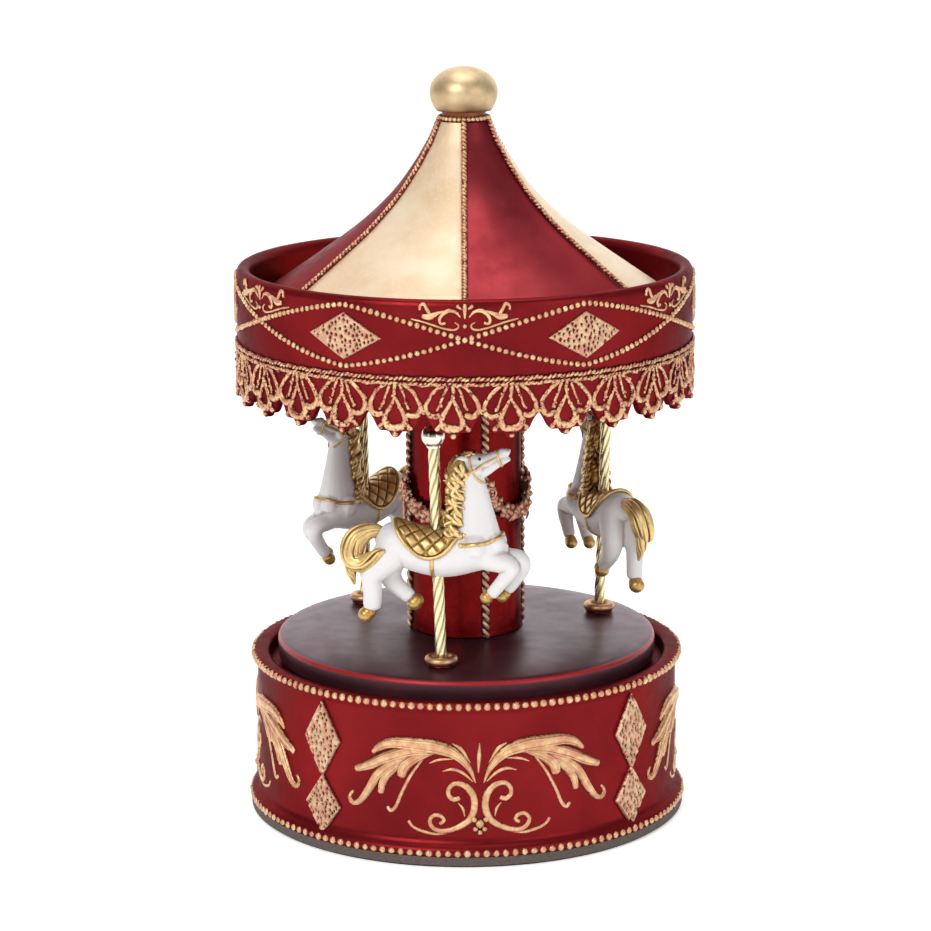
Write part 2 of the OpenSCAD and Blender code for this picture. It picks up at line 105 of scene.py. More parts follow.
def spline(points, n):
    """n samples of a smooth curve through the points; any number of columns, each interpolated alike."""
    p = np.asarray(points, float)
    if len(p) == 2:
        return p[0] + np.linspace(0, 1, n)[:, None] * (p[1] - p[0])
    p = np.vstack([2 * p[0] - p[1], p, 2 * p[-1] - p[-2]])
    step = np.r_[0, np.cumsum(np.maximum(np.linalg.norm(np.diff(p[1:-1, :2], axis=0), axis=1), 1e-6))]
    t = np.interp(np.linspace(0, step[-1], n), step, np.arange(len(step)))
    i = np.minimum(t.astype(int), len(step) - 2)
    f = (t - i)[:, None]
    a, b, c, d = p[i], p[i + 1], p[i + 2], p[i + 3]
    return 0.5 * (2 * b + (c - a) * f + (2 * a - 5 * b + 4 * c - d) * f**2 + (3 * b - a - 3 * c + d) * f**3)


class Heap:
    """Gathers pieces of one mesh. high is 1 where a relief stands proud and 0 in its recesses."""

    def __init__(self):
        self.v, self.q, self.t, self.h, self.m, self.n = [], [], [], [], [], 0

    def add(self, v, quads=(), tris=(), high=1.0, mat=0):
        v = np.asarray(v, float).reshape(-1, 3)
        self.v.append(v)
        self.h.append(np.broadcast_to(np.asarray(high, float).ravel(), len(v)) if np.ndim(high) == 0
                      or np.size(high) == 1 else np.asarray(high, float).ravel())
        for store, faces, k in ((self.q, quads, 4), (self.t, tris, 3)):
            if len(faces):
                faces = np.asarray(faces).reshape(-1, k)
                store.append(np.c_[faces + self.n, np.full(len(faces), mat)])
        self.n += len(v)

    def mesh(self, name, materials, body, replaces=(), slot=None, crease=None):
        v, h = np.vstack(self.v), np.concatenate(self.h)
        q = np.vstack(self.q) if self.q else np.zeros((0, 5), int)
        t = np.vstack(self.t) if self.t else np.zeros((0, 4), int)
        me = bpy.data.meshes.new(name)
        me.vertices.add(len(v))
        me.vertices.foreach_set("co", (v * MM).astype(np.float32).ravel())
        me.loops.add(len(q) * 4 + len(t) * 3)
        me.loops.foreach_set("vertex_index", np.concatenate([q[:, :4].ravel(),
                t[:, :3].ravel()]).astype(np.int32))
        me.polygons.add(len(q) + len(t))
        starts = np.concatenate([np.arange(len(q)) * 4, len(q) * 4 + np.arange(len(t)) * 3])
        me.polygons.foreach_set("loop_start", starts.astype(np.int32))
        me.polygons.foreach_set("material_index", np.concatenate([q[:, 4], t[:, 3]]).astype(np.int32))
        me.polygons.foreach_set("use_smooth", np.ones(len(starts), bool))
        me.update(calc_edges=True)
        me.validate()
        me.attributes.new("high", "FLOAT", "POINT").data.foreach_set("value", h.astype(np.float32))
        return place(name, me, materials, body, replaces, crease)


def place(name, me, materials, body, replaces=(), crease=None):
    for m in materials if isinstance(materials, list) else [materials]:
        me.materials.append(m)
    if crease:
        me.set_sharp_from_angle(angle=math.radians(crease))
    obj = bpy.data.objects.new(name, me)
    bpy.context.scene.collection.objects.link(obj)
    bpy.context.view_layer.update()
    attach(obj, body)
    if replaces:
        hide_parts(*replaces)
    return obj


def grid_faces(rows, cols, wrap_cols=True, wrap_rows=False):
    """Quads of a grid of points, row by row, that may close on itself either way."""
    i, j = np.meshgrid(np.arange(rows - (not wrap_rows)), np.arange(cols - (not wrap_cols)), indexing="ij")
    i2, j2 = (i + 1) % rows, (j + 1) % cols
    return np.stack([i * cols + j, i * cols + j2, i2 * cols + j2, i2 * cols + j], -1).reshape(-1, 4)


def lathe(heap, profile, segments, mat=0):
    """Turns an (R, z) profile about Z. Going up the profile has the outside on its right."""
    p = np.asarray(profile, float)
    az = np.arange(segments) * 360 / segments
    heap.add(polar(az[None, :], p[:, :1], p[:, 1:2]), grid_faces(len(p), segments), mat=mat)


def tube(heap, path, width, up, sides=10, height=None, high=None, closed=False):
    """Sweeps an elliptical section along path. width and height are half sizes; up points off the surface."""
    p = np.asarray(path, float)
    n = len(p)
    t = unit((np.roll(p, -1, 0) - np.roll(p, 1, 0)) if closed else np.gradient(p, axis=0))
    up = np.broadcast_to(np.asarray(up, float), p.shape)
    side = unit(np.cross(t, up))
    nrm = np.cross(side, t)
    w = np.broadcast_to(np.asarray(width, float), n)[:, None, None]
    h = w if height is None else np.broadcast_to(np.asarray(height, float), n)[:, None, None]
    a = np.arange(sides) * 2 * math.pi / sides
    ring = p[:, None] + np.cos(a)[None, :, None] * w * side[:, None] + np.sin(a)[None, :, None] * h * nrm[:,
            None]
    if high is None:
        hi = np.broadcast_to((0.5 + 0.5 * np.sin(a))[None], (n, sides)).ravel()
    else:
        hi = np.broadcast_to(np.asarray(high, float).reshape(-1, 1) if np.ndim(high) else high,
                (n, sides)).ravel()
    if closed:
        heap.add(ring, grid_faces(n, sides, True, True), high=hi)
        return
    caps = np.arange(sides)
    tris = [np.c_[np.full(sides, n * sides), np.roll(caps, -1), caps],
            np.c_[np.full(sides, n * sides + 1), caps + (n - 1) * sides,
            np.roll(caps, -1) + (n - 1) * sides]]
    v = np.vstack([ring.reshape(-1, 3), p[:1] - t[:1] * w[0, 0] * 0.6, p[-1:] + t[-1:] * w[-1, 0] * 0.6])
    heap.add(v, grid_faces(n, sides), np.vstack(tris),
            high=np.r_[hi, hi[:sides].mean(), hi[-sides:].mean()])


def ball_template(seg, rings):
    lat = np.linspace(-90, 90, rings + 1)[1:-1] * math.pi / 180
    lon = np.arange(seg) * 2 * math.pi / seg
    v = np.stack(np.broadcast_arrays(np.cos(lat)[:, None] * np.cos(lon), np.cos(lat)[:, None] * np.sin(lon),
                                     np.sin(lat)[:, None]), -1).reshape(-1, 3)
    k, top = np.arange(seg), (rings - 2) * seg
    v = np.vstack([v, [0, 0, -1], [0, 0, 1]])
    tris = np.vstack([np.c_[np.full(seg, len(v) - 2), np.roll(k, -1), k],
                      np.c_[np.full(seg, len(v) - 1), top + k, top + np.roll(k, -1)]])
    return v, grid_faces(rings - 1, seg), tris


BALL = ball_template(12, 8)


def balls(heap, centres, radii, ups=None, high=None, jitter=0.0, seed=1):
    """Small balls at the centres, a little uneven where jitter is given. ups points off the surface."""
    rng = np.random.default_rng(seed)
    c = np.asarray(centres, float).reshape(-1, 3)
    radii = np.broadcast_to(np.asarray(radii, float), len(c))
    v0, q0, t0 = BALL
    ups = unit(c * [1, 1, 0]) if ups is None else np.broadcast_to(ups, c.shape)
    for i in range(len(c)):
        v = v0 * radii[i] * (1 + jitter * rng.uniform(-1, 1, 3))
        hi = (0.5 + 0.5 * (unit(v) @ ups[i])) if high is None else high
        heap.add(c[i] + v, q0, t0, high=hi)


def wrap(uv, az, r, lift=0.0, mirror=1):
    """(u along the wall, z up) to a point on the round wall, and the way out of the wall there."""
    uv = np.asarray(uv, float)
    angle = az + mirror * np.degrees(uv[:, 0] / r)
    return polar(angle, r + lift, uv[:, 1]), polar(angle, 1.0, 0.0)


def stroke(heap, points, az, r, mirror=1, samples=26, depth=0.85, sides=10):
    """One raised stroke of a relief, through (u, z, half width), depth times its half width deep."""
    s = spline(points, samples)
    w = np.maximum(s[:, 2], 0.05)
    p, up = wrap(s, az, r, 0.0, mirror)
    tube(heap, p, w, up, sides, height=depth * w + 0.12)


def pitted_diamond(heap, az, r, centre_z, half_w, half_h, thick, pits, seed):
    """A raised lozenge with punched pits, bent round the wall, and its bevelled edge."""
    rng = random.Random(seed)
    fine = 72
    a = np.linspace(-1, 1, fine)
    a, b = np.meshgrid(a, a, indexing="ij")
    u, z = (a + b) / 2 * half_w, (a - b) / 2 * half_h
    edge = np.minimum(1 - abs(a), 1 - abs(b)) * min(half_w, half_h)
    rise = np.clip(edge / 0.45, 0, 1) ** 0.5
    low = np.zeros_like(u)
    taken = []
    for _ in range(pits * 12):
        s, t = rng.uniform(-0.9, 0.9), rng.uniform(-0.9, 0.9)
        here = ((s + t) / 2 * half_w, (s - t) / 2 * half_h)
        if len(taken) >= pits or any(math.dist(here, q) < 0.85 for q in taken):
            continue
        taken.append(here)
        size = rng.uniform(0.26, 0.52)
        d = np.hypot(u - (s + t) / 2 * half_w, (z - (s - t) / 2 * half_h) * rng.uniform(0.6, 1.0)) / size
        low = np.maximum(low, np.clip(1.25 - d, 0, 1))
    rough = 0.05 * np.sin(u * 7 + np.cos(z * 5)) * np.cos(z * 6)
    lift = thick * rise * (1 - 0.75 * low) + rough * rise - 0.15
    p, _ = wrap(np.c_[u.ravel(), centre_z + z.ravel()], az, r, lift.ravel())
    high = np.clip(rise * 1.1 - 0.1, 0, 1) * (1 - low)
    heap.add(p, grid_faces(fine, fine, False)[:, ::-1], high=high.ravel())


# ---------------------------------------------------------------- materials


class Mat:
    """A node material. Sizes of patterns are in millimetres on the object."""

    def __init__(self, name, **sockets):
        self.m = bpy.data.materials.new(name)
        self.m.use_nodes = True
        self.t = self.m.node_tree
        self.b = self.t.nodes["Principled BSDF"]
        for key, value in sockets.items():
            self.b.inputs[key.replace("_", " ")].default_value = value
        self.co = self.node("ShaderNodeTexCoord").outputs["Object"]

    def node(self, kind, **props):
        n = self.t.nodes.new(kind)
        for key, value in props.items():
            setattr(n, key, value)
        return n

    def put(self, value, socket):
        if hasattr(value, "is_output"):
            self.t.links.new(value, socket)
        elif isinstance(value, (tuple, list)) and len(value) == 3 and len(socket.default_value) == 4:
            socket.default_value = (*value, 1)
        else:
            socket.default_value = value

    def noise(self, size, detail=3.0, rough=0.6, stretch=(1, 1, 1), warp=0.0):
        mp = self.node("ShaderNodeMapping")
        self.put(self.co, mp.inputs[0])
        mp.inputs["Scale"].default_value = [s / MM / size for s in stretch]
        n = self.node("ShaderNodeTexNoise")
        self.put(mp.outputs[0], n.inputs["Vector"])
        n.inputs["Scale"].default_value = 1
        n.inputs["Detail"].default_value = detail
        n.inputs["Roughness"].default_value = rough
        n.inputs["Distortion"].default_value = warp
        return n.outputs[0]

    def relief_height(self):
        return self.node("ShaderNodeAttribute", attribute_name="high").outputs["Fac"]

    def maths(self, op, a, b=0.0):
        n = self.node("ShaderNodeMath", operation=op)
        self.put(a, n.inputs[0])
        self.put(b, n.inputs[1])
        return n.outputs[0]

    def span(self, value, lo, hi, to=(0, 1)):
        n = self.node("ShaderNodeMapRange", interpolation_type="SMOOTHSTEP")
        for s, v in zip(n.inputs[:5], (value, lo, hi, *to)):
            self.put(v, s)
        return n.outputs[0]

    def mix(self, fac, a, b):
        n = self.node("ShaderNodeMix", data_type="RGBA")
        self.put(fac, n.inputs[0])
        self.put(a, n.inputs[6])
        self.put(b, n.inputs[7])
        return n.outputs[2]

    def xyz(self):
        n = self.node("ShaderNodeSeparateXYZ")
        self.put(self.co, n.inputs[0])
        return n.outputs

    def crevice(self, reach=0.9):
        """1 where another surface stands close by, as in the corner beside a relief. Colours darkened by it
        are painted shade.
        """
        n = self.node("ShaderNodeAmbientOcclusion", samples=8)
        n.inputs["Distance"].default_value = reach * MM
        return self.span(n.outputs["AO"], 0.35, 0.92, (1, 0))

    def height_mm(self):
        return self.maths("MULTIPLY", self.xyz()[2], 1 / MM)

    def radius_mm(self):
        x, y, _ = self.xyz()
        square = self.maths("ADD", self.maths("MULTIPLY", x, x), self.maths("MULTIPLY", y, y))
        return self.maths("MULTIPLY", self.maths("SQRT", square), 1 / MM)

    def angle(self):
        x, y, _ = self.xyz()
        return self.maths("ARCTAN2", x, self.maths("MULTIPLY", y, -1))

    def finish(self, colour=None, rough=None, bump=None, strength=0.3, depth=0.1, metallic=None):
        for value, key in ((colour, "Base Color"), (rough, "Roughness"), (metallic, "Metallic")):
            if value is not None:
                self.put(value, self.b.inputs[key])
        if bump is not None:
            n = self.node("ShaderNodeBump")
            n.inputs["Strength"].default_value = strength
            n.inputs["Distance"].default_value = depth * MM
            self.put(bump, n.inputs["Height"])
            self.put(n.outputs[0], self.b.inputs["Normal"])
        return self.m


RED_LIT = (0.225, 0.013, 0.015)
RED_DEEP = (0.15, 0.009, 0.011)
RED_EDGE = (0.46, 0.008, 0.012)
# Near-black red laid into crevices: painted shade, together with a dark paint wash.
SHADE_AND_WASH = (0.035, 0.002, 0.004)
SHEEN = (0.26, 0.13, 0.16, 1)


def candy_red(name, lit=RED_LIT, deep=RED_DEEP, rough=0.34, streaks=(1, 1, 4)):
    m = Mat(name, Metallic=0.78, Specular_IOR_Level=0.3, Specular_Tint=SHEEN)
    cloud = m.noise(22, 2)
    brush = m.noise(1.2, 4, stretch=streaks)
    colour = m.mix(m.span(cloud, 0.25, 0.75), deep, lit)
    colour = m.mix(m.maths("MULTIPLY", m.span(brush, 0.5, 0.85), 0.25), colour, RED_EDGE)
    # Crevices beside raised parts darkened: painted shade, with a dark wash.
    colour = m.mix(m.maths("MULTIPLY", m.crevice(), 0.85), colour, SHADE_AND_WASH)
    roughness = m.span(m.noise(3, 4), 0.2, 0.8, (rough - 0.07, rough + 0.1))
    return m.finish(colour, roughness, m.noise(0.9, 4), 0.12, 0.08)


def relief_gold(name, worn=0.42, tint=(0.63, 0.33, 0.17), pale=(0.83, 0.56, 0.3), grit=0.45, broken=1.5,
        recess_colour=None):
    """Gold dry-brushed on the high parts, with the red base paint in the recesses unless a recess colour is
    given, and painted shade with a dark wash in the crevices beside the relief.
    """
    m = Mat(name, Specular_IOR_Level=0.5)
    high, grain = m.relief_height(), m.noise(grit, 4, 0.7)
    edge = m.maths("ADD", high, m.maths("MULTIPLY", m.maths("SUBTRACT", grain, 0.5), broken))
    mask = m.span(edge, worn - 0.1, worn + 0.12)
    gold = m.mix(m.span(m.noise(2.2, 3), 0.35, 0.7), tint, pale)
    blush = m.maths("MULTIPLY", m.span(m.noise(3.3, 3, warp=1), 0.5, 0.68), 0.6)
    gold = m.mix(blush, gold, (0.6, 0.2, 0.15))
    recess_colour = recess_colour or m.mix(m.span(m.noise(4, 2), 0.3, 0.7), RED_DEEP, RED_LIT)
    rough = m.span(mask, 0, 1, (0.35, 0.42))
    metallic = m.span(mask, 0, 1, (0.4, 0.6))
    # Crevices beside the relief darkened: painted shade, with a dark wash.
    colour = m.mix(m.maths("MULTIPLY", m.crevice(0.5), 0.5), m.mix(mask, recess_colour, gold), SHADE_AND_WASH)
    return m.finish(colour, rough, grain, 0.45, 0.1, metallic)


def champagne(name):
    m = Mat(name, Metallic=0.35, Specular_IOR_Level=0.5)
    brush = m.noise(0.6, 4, stretch=(1, 1, 0.12))
    colour = m.mix(m.span(m.noise(12, 3), 0.3, 0.7), (0.72, 0.52, 0.32), (0.8, 0.64, 0.45))
    colour = m.mix(m.maths("MULTIPLY", m.span(brush, 0.45, 0.75), 0.4), colour, (0.86, 0.73, 0.55))
    seam = m.maths("ABSOLUTE", m.maths("SINE", m.maths("MULTIPLY", m.angle(), 3)))
    stain = m.maths("MULTIPLY", m.span(seam, 0.04, 0.3, (1, 0)), m.span(m.noise(2.6, 4), 0.3, 0.7))
    colour = m.mix(m.maths("MULTIPLY", stain, 0.45), colour, (0.6, 0.2, 0.12))
    # Red-brown in the crevices beside the seam braids: painted shade.
    colour = m.mix(m.maths("MULTIPLY", m.crevice(), 0.6), colour, (0.3, 0.06, 0.04))
    return m.finish(colour, m.span(brush, 0.3, 0.7, (0.38, 0.52)), brush, 0.15, 0.06)


def deck_maroon(name):
    m = Mat(name, Metallic=0.2, Coat_Weight=0.1, Coat_Roughness=0.4, Specular_Tint=(0.8, 0.62, 0.72, 1))
    colour = m.mix(m.span(m.noise(16, 3), 0.3, 0.7), (0.04, 0.012, 0.016), (0.07, 0.018, 0.024))
    # A bright red band along the rounded top of the rim: painted highlight.
    rim = m.span(m.radius_mm(), DECK_R - 0.8, DECK_R - 0.35)
    side = m.span(m.height_mm(), DECK_Z - 2.0, DECK_Z - 1.5)
    colour = m.mix(m.maths("MULTIPLY", m.maths("MULTIPLY", rim, side), 0.7), colour, RED_EDGE)
    dust = m.span(m.noise(0.45, 1), 0.76, 0.82)
    colour = m.mix(m.maths("MULTIPLY", dust, 0.25), colour, (0.5, 0.42, 0.4))
    return m.finish(colour, m.span(m.noise(5, 4), 0.2, 0.8, (0.3, 0.42)), m.noise(0.8, 4), 0.1, 0.05)


def brushed_metal(name, tint, dark, rough=0.3, stretch=(1, 1, 14)):
    m = Mat(name, Metallic=1.0)
    lines = m.noise(0.5, 4, 0.7, stretch)
    colour = m.mix(m.span(m.noise(2.5, 3), 0.3, 0.75), dark, tint)
    colour = m.mix(m.maths("MULTIPLY", m.span(lines, 0.35, 0.75), 0.5), colour, tint)
    return m.finish(colour, m.span(lines, 0.25, 0.75, (rough - 0.08, rough + 0.1)), lines, 0.2, 0.04)


def plain_surface(name, tint, dark, rough, size=1.0, metallic=0.0, bump=0.25, sheen=0.0):
    m = Mat(name, Metallic=metallic, Sheen_Weight=sheen)
    fine = m.noise(size, 5, 0.7)
    colour = m.mix(m.span(fine, 0.3, 0.7), dark, tint)
    return m.finish(colour, m.span(m.noise(size * 3, 3), 0.2, 0.8, (rough - 0.06, rough + 0.08)), fine,
            bump, 0.1)


def fibreboard(name):
    m = Mat(name)
    fibre = m.noise(0.5, 5, 0.75, (1, 1, 3))
    colour = m.mix(m.span(fibre, 0.3, 0.7), (0.05, 0.034, 0.03), (0.15, 0.115, 0.1))
    return m.finish(colour, 0.85, fibre, 0.5, 0.15)


def coat_white(name):
    m = Mat(name, Subsurface_Weight=0.12, Subsurface_Scale=0.002, Specular_IOR_Level=0.45)
    m.b.inputs["Subsurface Radius"].default_value = (1, 0.7, 0.6)
    high = m.relief_height()
    # Greyer and pinker in the creases of the skin and lighter on its ridges: painted shade.
    shade = m.mix(m.span(high, 0.05, 0.5), (0.46, 0.39, 0.38), (0.73, 0.71, 0.7))
    hair = m.noise(0.5, 4, 0.6, (1, 1, 0.35))
    shade = m.mix(m.maths("MULTIPLY", m.span(m.noise(5, 3), 0.45, 0.8), 0.25), shade, (0.76, 0.7, 0.7))
    return m.finish(shade, m.span(hair, 0.2, 0.8, (0.36, 0.5)), hair, 0.16, 0.08)


def horse_gold(name):
    m = Mat(name, Metallic=0.7)
    high, grain = m.relief_height(), m.noise(0.6, 4)
    edge = m.maths("ADD", high, m.maths("MULTIPLY", m.maths("SUBTRACT", grain, 0.5), 0.4))
    # Dark brown where the high attribute is low (recesses, undersides, the cores under the locks) and pale
    # gold on the tops: painted shade and painted highlight.
    colour = m.mix(m.span(edge, 0.2, 0.6), (0.09, 0.035, 0.008), (0.5, 0.29, 0.08))
    colour = m.mix(m.span(edge, 0.66, 1.0), colour, (0.8, 0.58, 0.26))
    # Crevices darkened further: painted shade.
    colour = m.mix(m.maths("MULTIPLY", m.crevice(0.6), 0.7), colour, (0.06, 0.02, 0.006))
    return m.finish(colour, m.span(grain, 0.2, 0.8, (0.28, 0.42)), grain, 0.2, 0.06)


def pole_metal(name):
    m = Mat(name, Metallic=0.9)
    groove = m.relief_height()
    # Dark in the spiral grooves and pale on the ridges: painted shade and painted highlight.
    colour = m.mix(m.span(groove, 0.15, 0.6), (0.4, 0.29, 0.1), (0.76, 0.66, 0.38))
    colour = m.mix(m.span(groove, 0.75, 1.0), colour, (0.86, 0.8, 0.56))
    return m.finish(colour, 0.27, m.noise(0.5, 3), 0.15, 0.04)


def finial_gold(name):
    m = Mat(name, Metallic=0.85)
    lines = m.noise(0.5, 4, 0.7, (1, 1, 6))
    colour = m.mix(m.span(m.noise(4, 3), 0.3, 0.75), (0.56, 0.4, 0.22), (0.7, 0.54, 0.33))
    # Dark brown on the underside of the ball and the neck below it: painted shadow.
    under = m.span(m.height_mm(), TOP_Z - 10.0, TOP_Z - 8.7, (0.9, 0))
    colour = m.mix(under, colour, (0.2, 0.045, 0.012))
    return m.finish(colour, m.span(lines, 0.25, 0.75, (0.38, 0.5)), lines, 0.25, 0.04)


def make_materials():
    return dict(
        red=candy_red("red_candy"),
        # The roof red is the base red made paler and pinker: painted reflection of the light from above.
        roof_red=candy_red("red_roof", lit=(0.33, 0.042, 0.048), deep=(0.2, 0.02, 0.026),
        streaks=(1, 1, 0.15)),
        column_red=candy_red("red_column", lit=(0.185, 0.006, 0.006), deep=(0.12, 0.005, 0.005), rough=0.26,
        streaks=(1, 1, 0.2)),
        relief=relief_gold("gold_relief", worn=0.62, grit=0.7),
        lace=relief_gold("gold_lace", worn=0.76, grit=0.8, broken=2.6),
        pits=relief_gold("gold_pitted", worn=0.4, tint=(0.56, 0.32, 0.2), pale=(0.75, 0.52, 0.32)),
        beads=relief_gold("gold_beads", worn=0.56, pale=(0.84, 0.6, 0.34), grit=0.9, broken=1.8),
        champagne=champagne("champagne_panel"),
        deck=deck_maroon("maroon_deck"),
        finial=finial_gold("brushed_finial"),
        pole=pole_metal("pole_gold"),
        # Near-black in the gaps between the strands: painted shade.
        cord=relief_gold("gold_cord", worn=0.6, tint=(0.66, 0.38, 0.24), pale=(0.85, 0.62, 0.42), grit=0.8,
                        recess_colour=(0.05, 0.01, 0.008)),
        petals=relief_gold("gold_petals", worn=0.58, broken=1.9, tint=(0.62, 0.3, 0.19),
        pale=(0.78, 0.52, 0.32), grit=1.2),
        pearl=brushed_metal("pearl_silver", (0.88, 0.85, 0.74), (0.7, 0.66, 0.55), 0.2, (1, 1, 1)),
        collar=brushed_metal("collar_gold", (0.74, 0.46, 0.26), (0.46, 0.24, 0.12), 0.4, (1, 1, 3)),
        white=coat_white("horse_white"),
        tack=horse_gold("horse_gold"),
        eye=plain_surface("eye_black", (0.01, 0.01, 0.01), (0.004, 0.004, 0.004), 0.15),
        board=fibreboard("fibreboard"),
        felt=plain_surface("felt", (0.025, 0.022, 0.023), (0.008, 0.007, 0.008), 0.95, 0.35, bump=0.8,
        sheen=0.1),
        steel=brushed_metal("steel", (0.62, 0.62, 0.64), (0.4, 0.4, 0.42), 0.3),
        spring=brushed_metal("spring_steel", (0.3, 0.32, 0.4), (0.14, 0.15, 0.2), 0.28),
        brass=brushed_metal("brass", (0.82, 0.62, 0.27), (0.6, 0.42, 0.15), 0.28),
        zinc=plain_surface("zinc_casting", (0.6, 0.6, 0.59), (0.42, 0.42, 0.42), 0.42, 0.6, 0.9),
        nylon=plain_surface("nylon", (0.86, 0.84, 0.78), (0.75, 0.72, 0.65), 0.5),
        black=plain_surface("black_plastic", (0.025, 0.025, 0.028), (0.012, 0.012, 0.014), 0.45),
    )


CAD_FINISH = dict(
    felt_pad="felt", bottom_plate="board", plate_screws="steel", spindle_bush="brass",
    thrust_washer="nylon",
    movement_bedplate="zinc", bedplate_screws="steel", spring_barrel="brass", output_spindle="steel",
    mainspring="spring", winding_arbor="steel", winding_key="brass", top_bridge="zinc",
    bridge_screws="steel",
    pinned_cylinder="brass", cylinder_pinion="steel", cylinder_gear="brass", music_comb="steel",
    comb_screws="steel", governor_frame="zinc", governor_wheel="brass", governor_worm="steel",
    air_brake_fly="black", deck_hub="brass", tie_rod="steel", canopy_ceiling="column_red", base_shell="red",
)


def dress_frame(mats):
    for node, finish in CAD_FINISH.items():
        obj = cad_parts[node]
        if not obj.material_slots:
            obj.data.materials.append(mats[finish])
        for s in obj.material_slots:
            s.material = mats[finish]


# ---------------------------------------------------------------- base

ACANTHUS = [  # half of the scroll, as (u, z, half width); the other half mirrors it
    [(-0.9, 18.9, 0.15), (-2.4, 22.4, 0.7), (-5.5, 25.6, 1.3), (-9.7, 27.0, 1.7), (-14.4, 27.3, 1.6),
     (-19.2, 27.3, 1.3), (-22.2, 26.1, 1.0), (-24.0, 24.6, 0.5)],
    [(-8.5, 26.0, 0.6), (-14.6, 25.9, 1.4), (-20.2, 24.0, 1.4), (-24.4, 21.8, 1.2), (-28.2, 20.2, 0.8)],
    [(-12.0, 25.6, 0.6), (-18.4, 23.2, 1.2), (-22.6, 19.8, 1.2), (-25.2, 15.8, 1.0), (-27.4, 12.9, 0.75),
     (-29.2, 12.3, 0.55), (-30.0, 13.7, 0.45), (-29.1, 14.9, 0.35)],
    [(-14.0, 24.9, 0.6), (-19.0, 21.6, 1.1), (-21.4, 18.6, 1.0), (-22.2, 15.6, 0.75)],
    [(-9.9, 25.9, 0.5), (-14.0, 24.3, 1.2), (-16.6, 22.2, 1.4), (-17.3, 19.9, 1.1)],
    [(-12.3, 24.4, 0.3), (-15.1, 20.3, 0.4), (-17.2, 16.2, 0.42), (-18.6, 12.9, 0.45), (-19.8, 11.7, 0.5),
     (-20.6, 12.5, 0.4)],
    [(-8.1, 21.5, 0.12), (-5.9, 22.0, 0.4), (-3.7, 21.2, 0.4), (-1.5, 19.2, 0.15)],
    [(-11.0, 23.2, 0.12), (-8.9, 24.1, 0.35), (-5.7, 24.4, 0.15)],
    [(-5.9, 27.8, 0.15), (-4.0, 26.5, 0.5), (-2.0, 23.4, 0.12)],
    [(-4.5, 15.5, 0.55), (-5.7, 15.1, 0.62), (-6.8, 16.1, 0.55), (-6.7, 17.7, 0.55), (-5.3, 18.8, 0.6),
     (-3.1, 18.2, 0.75), (-1.5, 16.1, 0.85), (-1.2, 13.2, 0.85), (-2.4, 10.4, 0.8), (-5.4, 8.5, 0.7),
     (-8.4, 7.8, 0.62), (-10.4, 8.6, 0.55), (-11.0, 10.2, 0.5), (-10.0, 11.4, 0.5), (-8.6, 11.3, 0.5),
     (-7.8, 10.3, 0.45), (-8.7, 9.5, 0.5)],
    [(-15.7, 9.7, 0.4), (-14.9, 8.6, 0.35), (-13.0, 7.7, 0.4), (-9.9, 7.1, 0.35), (-7.4, 7.3, 0.15)],
    [(-4.7, 14.3, 0.12), (-3.7, 13.0, 0.32), (-3.3, 11.2, 0.12)],
]
LEAF_VEINS = [0.55, -0.5]
SCROLL_AZ = 3.3
SCROLL_R = 48.1


def acanthus(heap, az):
    for mirror in (1, -1):
        for i, line in enumerate(ACANTHUS):
            stroke(heap, line, az, SCROLL_R, mirror, samples=54 if len(line) > 9 else 34, depth=0.62)
            if i < 5:
                leaf_ribs(heap, line, az, mirror)
    stroke(heap, [(0, 27.9, 0.12), (-0.1, 25.5, 0.5), (-0.2, 23.5, 0.45), (-0.3, 21.2, 0.15)], az, SCROLL_R)
    for du, dz, size in ((0, 9.6, 1.0), (-1.3, 10.6, 0.7), (1.3, 10.6, 0.7), (-1.0, 8.4, 0.6),
            (1.0, 8.4, 0.6), (0, 7.6, 0.6)):
        p, _ = wrap([(du, dz)], az, SCROLL_R, 0.25)
        balls(heap, p, size)


def leaf_ribs(heap, line, az, mirror):
    """Fine ridges along a leaf, either side of its middle, that catch the dry-brushed gold."""
    s = spline(line, 30)
    d = unit(np.gradient(s[:, :2], axis=0))
    across = np.c_[-d[:, 1], d[:, 0]]
    for shift in LEAF_VEINS:
        rib = s[3:-2].copy()
        rib[:, :2] += across[3:-2] * (s[3:-2, 2:3] * shift)
        p, up = wrap(rib, az, SCROLL_R, 0.42 * s[3:-2, 2] + 0.22, mirror)
        tube(heap, p, np.clip(0.2 * s[3:-2, 2], 0.08, 0.3), up, 6, high=0.95)


def bead_row(heap, z, r, radius, seed, az0=0.0):
    az = az0 + np.arange(BEADS_ROUND_BASE) * 360 / BEADS_ROUND_BASE
    balls(heap, polar(az, r, z), radius, jitter=0.13, seed=seed)


def base_wall_profile():
    b, w = BASE_R, WALL_R
    outer = [(b - 0.3, PLATE_TOP + 0.02), (b - 0.1, 2.6), (b - 0.1, 3.7), (b - 0.5, 4.3), (w + 0.9, 4.7),
            (w + 0.35, 5.2),
             (w + 0.1, 5.9), (w, 7), (w, 20), (w, 34.2), (w + 0.25, 34.9), (w + 0.75, 35.5),
             (w + 0.9, 36.2),
             (w + 0.75, 36.8), (w + 0.2, RIM_Z), (w - 1.6, RIM_Z), (w - 2.3, RIM_Z - 0.15),
             (w - 2.75, RIM_Z - 0.6),
             (w - 2.95, RIM_Z - 1.4), (w - 3.0, 34.0)]
    return outer


